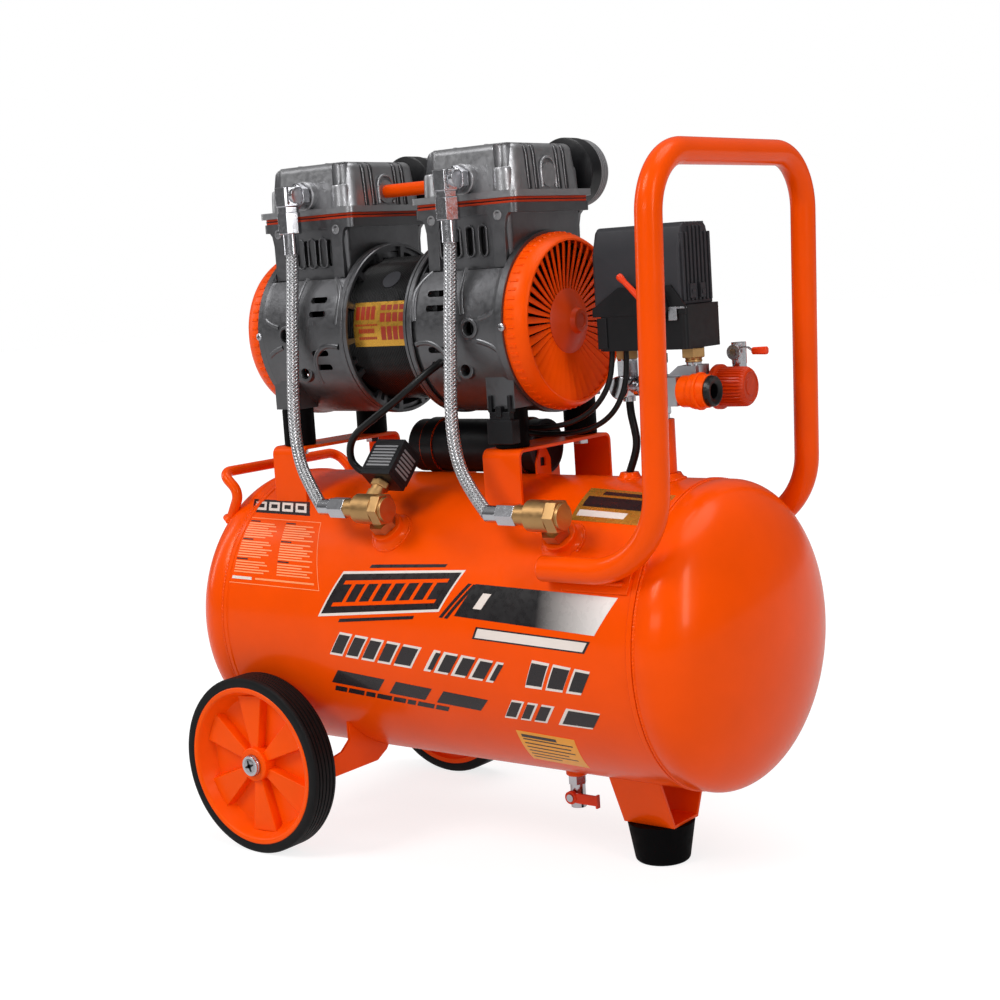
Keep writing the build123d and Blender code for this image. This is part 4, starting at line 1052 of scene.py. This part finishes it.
def blocks(shape, corners, row, cells, gap, slant, out=0.25):
    """A row of slanted blocks along a film; cells are their widths, negative for an empty one."""
    low, high = row
    total = sum(abs(c) for c in cells) + gap * (len(cells) - 1)
    at = 0.0
    for width in cells:
        if width > 0:
            film(shape, corners, (at / total, low, (at + width) / total, high), slant=slant, out=out)
        at += abs(width) + gap


# Each film's corners: (x, lean) clockwise from the upper left
PANEL = [(-239, 31.6), (-164.4, 32.1), (-151.7, 40), (-228, 39.2)]
INFO = [(-228, 42), (-133, 43), (-108, 72.3), (-226, 71.6)]
EMBLEM = [(-84.3, 61.6), (61.7, 57.8), (34.7, 78.2), (-114.8, 84.7)]
HATCH = [(60.7, 65), (74.7, 65.5), (47.5, 78.8), (33.3, 78.4)]
BANNER = [(68.8, 65), (213, 66.3), (194.1, 80.1), (49.9, 77.4)]
STRIP = [(74.2, 80.7), (190.4, 82.3), (184.5, 86.7), (70, 85.2)]
LARGE_ROW = [(-80.8, 87.5), (102.6, 93), (95, 101.4), (-88.7, 97.1)]
SMALL_BLOCK = [(132.1, 90.8), (189.3, 92.9), (182, 102.2), (126.1, 101.6)]
LOW_ROW = [(-90.2, 103.5), (77.4, 108.9), (66.3, 117.8), (-101.4, 113.2)]
LOW_BLOCK = [(103.8, 107.5), (191.8, 108.9), (184.3, 116.4), (94.7, 116.1)]
CAUTION = [(95.1, 122.1), (153.8, 123.4), (145.7, 143.7), (89.9, 141.5)]
GOLD = [(134.6, 15.2), (226, 19.5), (213, 37.5), (140.3, 36.1)]


def film_information(dark, pale, edge, thin):
    """The small panel and the block of fine print at the tank's left."""
    film(dark, PANEL)
    for i in range(4):
        film(pale, PANEL, (0.05 + 0.235 * i, 0.18, 0.24 + 0.235 * i, 0.82), out=0.4)
        film(dark, PANEL, (0.09 + 0.235 * i, 0.36, 0.20 + 0.235 * i, 0.64), out=0.55)
    for cell in ((0, 0, 1, 0.010), (0, 0.990, 1, 1), (0, 0, 0.005, 1), (0.995, 0, 1, 1)):
        film(thin, INFO, cell)
    for column, shift in ((0.05, 0), (0.54, 5)):
        for i in range(22):
            title = i % 8 == 0
            wide = 0.13 if title else (0.40, 0.34, 0.37, 0.28)[(i + shift) % 4]
            film(dark if title else thin, INFO,
                 (column, 0.05 + 0.037 * i, column + wide, 0.068 + 0.037 * i))
    film(edge, INFO, (0.04, 0.90, 0.26, 0.94))
    film(thin, INFO, (0.30, 0.905, 0.95, 0.93))


def film_emblem(dark, edge, orange, gradient):
    """The framed row of bars, the hatch beside it, the banner with its painted reflection and the strip.
    """
    for shape, inset, out in ((edge, 0.10, 0.2), (dark, 0.15, 0.3)):
        film(shape, EMBLEM, (inset * 0.3, inset, 1 - inset * 0.3, 1 - inset), out=out)
    film(orange, EMBLEM, (0.10, 0.27, 0.90, 0.73), out=0.4)
    blocks(dark, EMBLEM, (0.34, 0.66), [-9] + [10] * 8 + [-9], 4, 0, out=0.5)
    for low, high in ((-0.02, 0.04), (0.96, 1.02)):
        film(dark, EMBLEM, (0.22, low, 0.80, high), out=0.3)
    film(dark, HATCH, (0, 0, 0.26, 1))
    film(dark, HATCH, (0.40, 0, 0.66, 1))
    film(gradient, BANNER)
    film(edge, BANNER, (0.10, 0.25, 0.16, 0.72), out=0.4)
    film(dark, STRIP)
    film(edge, STRIP, (0.02, 0.12, 0.98, 0.88), out=0.35)


def film_rows(dark, edge):
    """Rows of plain slanted blocks; each outlined block is a dark one on a paler, wider one."""
    for corners, cells, slant in ((LARGE_ROW, [12, 12, 12, 12, 16, -5, 6, 12, 12, 12, 6], -0.04),
                                  (SMALL_BLOCK, [14, 14, 12], -0.09),
                                  (LOW_BLOCK, [10, 8, 10, -3, 26], -0.06)):
        blocks(edge, corners, (0, 1), cells, 3, slant, out=0.2)
        blocks(dark, corners, (0.10, 0.90), [c - 1.6 for c in cells], 3 + 1.6, slant, out=0.35)
    blocks(dark, LOW_ROW, (0, 0.62), [30, -3, 22, -3, 26], 2, -0.05)
    blocks(dark, LOW_ROW, (0.76, 1), [9, 12, 7, 11, 9, 6, 12, 9, -24], 1.5, -0.02)


def film_notices(dark, pale, gold, yellow):
    """The yellow and the gold label, with plain lines for their print."""
    film(yellow, CAUTION)
    for i, wide in enumerate((0.6, 0.86, 0.8, 0.84, 0.7, 0.82, 0.5)):
        low = 0.08 + 0.125 * i
        film(dark, CAUTION, (0.07, low, 0.07 + wide, low + (0.03 if i else 0.08)), out=0.4)
    film(gold, GOLD)
    film(dark, GOLD, (0.06, 0.30, 0.94, 0.62), out=0.4)
    film(dark, GOLD, (0.20, 0.10, 0.80, 0.22), out=0.4)
    film(pale, GOLD, (0.06, 0.72, 0.70, 0.88), out=0.4)


def make_tank_films():
    """Plain blocks, bars and stripes stand where the tank carries print."""
    dark, pale, edge, gradient, gold, yellow, orange, thin = (Shape() for _ in range(8))
    film_information(dark, pale, edge, thin)
    film_emblem(dark, edge, orange, gradient)
    film_rows(dark, edge)
    film_notices(dark, pale, gold, yellow)
    for name, shape, look in (("dark", dark, "ink"), ("pale", pale, "pale_film"),
                              ("edge", edge, "pale_film"), ("orange", orange, "paint"),
                              ("thin", thin, "thin_film"), ("banner", gradient, "banner_film"),
                              ("gold", gold, "gold_film"), ("yellow", yellow, "yellow_film")):
        piece("film_" + name, shape, look)


def make_motor_label():
    """A gold label with plain bars on the motor, and a round plug above it."""
    gold, bars = Shape(), Shape()
    label_r, front_r, back_r = 66.2, 66.5, 65.5
    corners = [(-95.9, 66.5), (-32.5, 66.5), (-32.5, 101.5), (-95.9, 101.5)]
    film(gold, corners, radius=label_r, axis=PUMP_Z)
    for left, low, right, high in ((0.04, 0.10, 0.42, 0.40), (0.50, 0.08, 0.96, 0.20),
                                   (0.50, 0.26, 0.96, 0.46), (0.04, 0.50, 0.46, 0.54),
                                   (0.10, 0.60, 0.40, 0.70), (0.10, 0.78, 0.44, 0.84),
                                   (0.52, 0.56, 0.96, 0.86)):
        count = 4 if high - low > 0.11 else 9
        step = (right - left) / count
        for i in range(count):
            film(bars, corners, (left + step * i, low, left + step * (i + 0.78), high), out=0.4,
                 radius=label_r, axis=PUMP_Z)
    rings = []
    for r, on_r in ((0.2, front_r), (5, front_r), (9.5, front_r), (9.5, back_r)):
        ring = []
        for a in turns(40):
            lean = radians(46 + degrees(r * sin(a) / label_r))
            ring.append(Vector((-62 + r * cos(a), -on_r * sin(lean), PUMP_Z + on_r * cos(lean))))
        rings.append(ring)
    piece("motor_label", gold, "gold_film")
    piece("motor_label_print", bars, "red_ink")
    piece("motor_disc", Shape().rings(rings), "dark_grey")


make_tank_films()
make_motor_label()
make_elbows()
make_case_lips()
make_fan_hubs()


# --- pressure switch
def make_switch():
    low, high = span("switch_cover", 0)
    split, top = span("switch_cover", 2)
    half = 26.0
    profile = [(-half, split), (-half, top - 21), (-half + 6, top - 3), (-half + 9.5, top),
               (half - 9.5, top), (half - 6, top - 3), (half, top - 21), (half, split)]
    ends = ((0, 0.90, 3), (1.2, 0.97, 0.6), (3.5, 1, 0), (high - low - 4.5, 1, 0),
            (high - low - 2, 0.97, 0.6))
    cover = Shape().rings([[Vector((low + along, y * close, split if z == split else z - drop))
                            for y, z in profile] for along, close, drop in ends])
    piece("switch_cover_shell", cover, "dark_grey", stands_for=["switch_cover"], bevel=1.6, segments=3,
          angle=20)
    ribs = Shape()
    for y in range(-21, 22, 6):
        rib_top = top - (3.0 if abs(y) < 15 else 8)
        ribs.box((high - 3.5, high - 0.1), (y - 1.5, y + 1.5), (split + 3, rib_top))
        if abs(y) < 16:
            ribs.box((high - 26, high - 2), (y - 1.2, y + 1.2), (top - 2, top + 0.4))
    for y in (-11, 5):
        ribs.box((high - 2, high + 1.6), (y - 4, y + 4), (split + 5, split + 17))
        ribs.box((high - 2, high + 2.6), (y - 2.4, y + 2.4), (split + 8, split + 12))
    piece("switch_ribs", ribs, "dark_grey", bevel=0.6)
    strip = Shape().box((high - 12, high + 2.8), (-29.6, 24), (split - 2.6, split - 1))
    strip.box((high - 12, high - 4), (-30.4, -29), (split - 12, split - 1))
    piece("switch_bracket", strip, "steel", bevel=0.3)
    clip = Shape().box((low + 4.5, low + 14), (-29.4, -27.5), (split - 34, split - 8))
    clip.box((low + 3.5, low + 6.5), (-24, -10), (split - 36, split - 12))
    piece("switch_clips", clip, "plastic", bevel=0.5)
    pivot, tip = Vector((201.7, -35.8, 486.6)), Vector((175.9, -35.8, 512))
    run = tip - pivot
    reach = run.length
    lever = Shape().lathe([(-3, 1), (-2.6, 2.4), (0, 3), (reach - 6, 2.3), (reach - 3, 2.8),
                           (reach, 3.2), (reach + 2, 2.6), (reach + 2.8, 1)], pivot, run, 32)
    lever.lathe([(0, 7), (0.6, 7.4), (2.6, 7.4), (3.2, 6.8), (3.2, 3), (15, 2.9)],
                (pivot.x, -37.4, pivot.z), Y, 40)
    piece("switch_lever_arm", lever, "lever_red", "switch_lever", ["switch_lever"])


# --- regulator, coupler and valves
LINE_Z = 415.6             # axis of the regulator and of the coupler


def make_knob():
    """A ribbed knob; each section has an x, a radius and the ribs' height."""
    sides, rings, at = 144, [], Vector((0, 20, LINE_Z))
    for x, radius, rib in ((230, 15.5, 0), (230.6, 18.4, 0), (231.4, 19, 0), (235.2, 19, 0),
                           (236, 18.2, 0), (236.6, 16.2, 0), (238.2, 16.1, 0.9), (258.5, 15.8, 0.9),
                           (260.6, 15, 0.5), (262.4, 13.4, 0), (263, 12.4, 0), (262.6, 11.8, 0),
                           (262, 11.4, 0), (262, 7.6, 0), (262.7, 7.2, 0), (262.7, 0.02, 0)):
        waves = [radius + rib * (0.9 if i % 4 < 2 else -0.5) for i in range(sides)]
        rings.append([at + X * x + spoke(a, Y, Z)[0] * r for a, r in zip(turns(sides), waves)])
    piece("regulator_knob_ribbed", Shape().rings(rings), "knob_red", "regulator_knob", ["regulator_knob"])


def make_coupler():
    at = Vector((0, -20, LINE_Z))
    sleeve = Shape().hoop([(236, 9.4), (236, 13.5), (231, 13.5), (231, 13.9), (231.6, 14.4),
                           (233.4, 14.6), (237, 14.6), (237.2, 15.2), (237.8, 15.6), (239.6, 15.6),
                           (240.2, 15.2), (240.6, 13.9), (246.2, 13.7), (247, 12.9), (247, 9.4)],
                          at, X)
    for a in turns(6, 0.3):
        sleeve.lathe([(14.2, 1.9), (14.75, 1.7), (14.95, 0.8)], at + X * 235, spoke(a, Y, Z)[0], 24)
    piece("coupler_sleeve_turned", sleeve, "orange_plastic", "coupler_sleeve", ["coupler_sleeve"])
    collar = Shape().hoop([(221.2, 9.2), (221.2, 12.6), (222.4, 13.2), (231.4, 13.2), (231.4, 9.2)],
                          at, X)
    piece("coupler_collar", collar, "orange_plastic")
    nose = Shape().hoop([(247.3, 9), (247.3, 12.2), (248.2, 13), (251.2, 12.6), (252.4, 11.4),
                         (252.4, 8.4), (251.2, 6.6), (246, 6.3), (246, 9)], at, X, 72)
    piece("coupler_nose", nose, "black_steel")
    piece("coupler_valve", Shape().lathe([(231, 6.1), (232.5, 0.1), (232.6, 6.1)], at, X, 48), "steel")


def make_outlet_lever():
    y, z = 46, 443.0
    lever = Shape().hoop([(0, 3.1), (0, 6.2), (0.4, 6.6), (2.6, 6.6), (3, 6.2), (3, 3.1)],
                         (238, y - 10, z), Y, 40)
    path = [(242, z + 0.5), (247, z + 4.5), (252, z + 4), (257, z + 0.8), (270, z + 1)]
    line = rounded([(x, y - 9.2, v) for x, v in path], [4, 4, 4], 6)
    lever.rings([[p + Y * a + Z * b for a, b in rectangle(1.9, 0.6)] for p in line])
    piece("outlet_lever_strip", lever, "steel", "outlet_valve_lever", ["outlet_valve_lever"], bevel=0.2)
    section = ((-1, -0.6), (-0.6, -1), (0.6, -1), (1, -0.6), (1, 0.6), (0.6, 1), (-0.6, 1), (-1, 0.6))
    grip = Shape().rings([[Vector((x, y - 9.8 + a * wide, z + 0.95 + b * high)) for a, b in section]
                          for x, wide, high in ((256.5, 2, 2), (257.4, 2.6, 3), (269.6, 2.7, 3.3),
                                                (270.6, 2.2, 2.4))])
    piece("outlet_lever_grip", grip, "lever_red", "outlet_valve_lever")


def make_fittings():
    nipples = Shape()
    base = span("switch_base", 2)[0]
    for x, across_flats in ((155.3, 17.8), (221, 18.4)):
        nipples.hexagon((x, 0, base - 8.5), (x, 0, base - 0.3), across_flats)
        nipples.lathe([(-12.5, 6.4), (-12, 7.2), (-10.4, 7.2), (-10, 6.6), (-9.4, 7.2), (-8.6, 7.2),
                       (-8.4, 6.4)], (x, 0, base), Z, 40)
    piece("brass_nipples", nipples, "brass", bevel=0.25)
    plug = Shape().lathe([(-16.2, 5.4), (-16.2, 9.2), (-15.6, 10), (-12.2, 10), (-11.8, 9.3)],
                         (155.3, 0, 418.6), Y, 48)
    for x in (163.5, 205.6):
        plug.lathe([(0, 7.6), (0.4, 8.4), (4.6, 8.4), (5, 7.6)], (x, 0, 418.6), X, 48)
    plug.hexagon((187, 0, 438), (187, 0, 446), 15)
    plug.hexagon((187, 0, 395), (187, 0, 403), 16)
    piece("pipe_collars", plug, "chrome")


# --- solenoid, capacitor and filters
def make_solenoid():
    """The coil across its stem, with ridges on its top and on one side."""
    along, out = Vector((0, cos(VALVE_ANGLE), sin(VALVE_ANGLE))), radial(0, 1) - radial(0, 0)
    base = radial(VALVE_XS[0] - 2, VALVE_OUT)
    coil, ridges = Shape(), Shape()

    def at(u, v, w):
        return base + X * u + out * v + along * w
    for low, high, half_u, half_v in ((29, 67, 16.6, 13.1), (34, 62, 17.2, 13.6)):
        coil.push([at(u, v, low) for u, v in rectangle(half_u, half_v)], along * (high - low))
    coil.lathe([(66.8, 5.6), (70.6, 5.6), (71.2, 5), (71.2, 0)], base, along, 36)
    for w in (37 + 3.4 * i for i in range(7)):
        ridges.push([at(u, 13.5, w + up) for u, up in ((-13, 0), (13, 0), (13, 1.9), (-13, 1.9))],
                    out * 0.9)
    for w in range(37, 58, 4):
        ridges.push([at(16.9, v, w + up) for v, up in ((-9, 0), (9, 0), (9, 2), (-9, 2))], X * 0.9)
    piece("solenoid_coil_body", coil, "plastic", stands_for=["solenoid_coil"], bevel=1)
    piece("solenoid_ridges", ridges, "grey_plastic", bevel=0.2)


def make_mount_clip():
    clip = Shape()
    for x, y, z in (((52.5, 79.5), (-69.5, -50), (376, 397)), ((55, 77), (-68.5, -50), (396, 404)),
                    ((54, 57.5), (-68, -54), (403, 418)), ((74.5, 78), (-68, -54), (403, 418)),
                    ((63, 69), (-70.2, -60), (399, 409))):
        clip.box(x, y, z)
    piece("mount_clip", clip, "plastic", bevel=0.9)


def make_capacitor():
    y, z = middle("capacitor", 1), middle("capacitor", 2)
    cap = Shape().lathe([(-2, 25.2), (-0.6, 25), (0.2, 24.2), (0.2, 21.6), (-0.8, 21), (-0.8, 0)],
                        (span("capacitor", 0)[1], y, z), X, 64)
    piece("capacitor_cap", cap, "dark_grey")
    straps = Shape()
    for x in (-80, 20):
        straps.hoop([(-7, 25.2), (-7, 26.4), (-6.6, 26.8), (6.6, 26.8), (7, 26.4), (7, 25.2)], (x, y, z),
                    X, 64)
    piece("capacitor_straps", straps, "black_steel")


def make_filters():
    caps, bases = Shape(), Shape()
    profile = [(79.2, 20), (79.2, 30)]
    for start in (80.0 + 2.8 * i for i in range(4)):
        profile += [(start, 30.4), (start + 1.7, 30.4), (start + 2, 29.7), (start + 2.5, 29.7)]
    profile += [(91.4, 29.6), (94.4, 27.8), (96.2, 25), (97, 21.5), (97, 20), (95.4, 19),
                (95.4, 0)]
    for stack, _ in STACKS:
        at = (stack + 24, 0, 607.6)
        bases.hoop([(63, 9.1), (63, 30.2), (63.8, 31.4), (78.2, 31.4), (79, 30.4), (79, 9.1)],
                   at, Y)
        bases.hoop([(52, 5.6), (52, 9), (63.2, 9), (63.2, 5.6)], at, Y, 48)
        caps.lathe(profile, at, Y)
    piece("air_filter_caps_ribbed", caps, "grey_plastic", stands_for=["air_filter_caps"])
    piece("air_filter_rings", bases, "plastic", stands_for=["air_filter_bases"])


make_switch()
make_knob()
make_coupler()
make_outlet_lever()
make_fittings()
make_solenoid()
make_mount_clip()
make_capacitor()
make_filters()
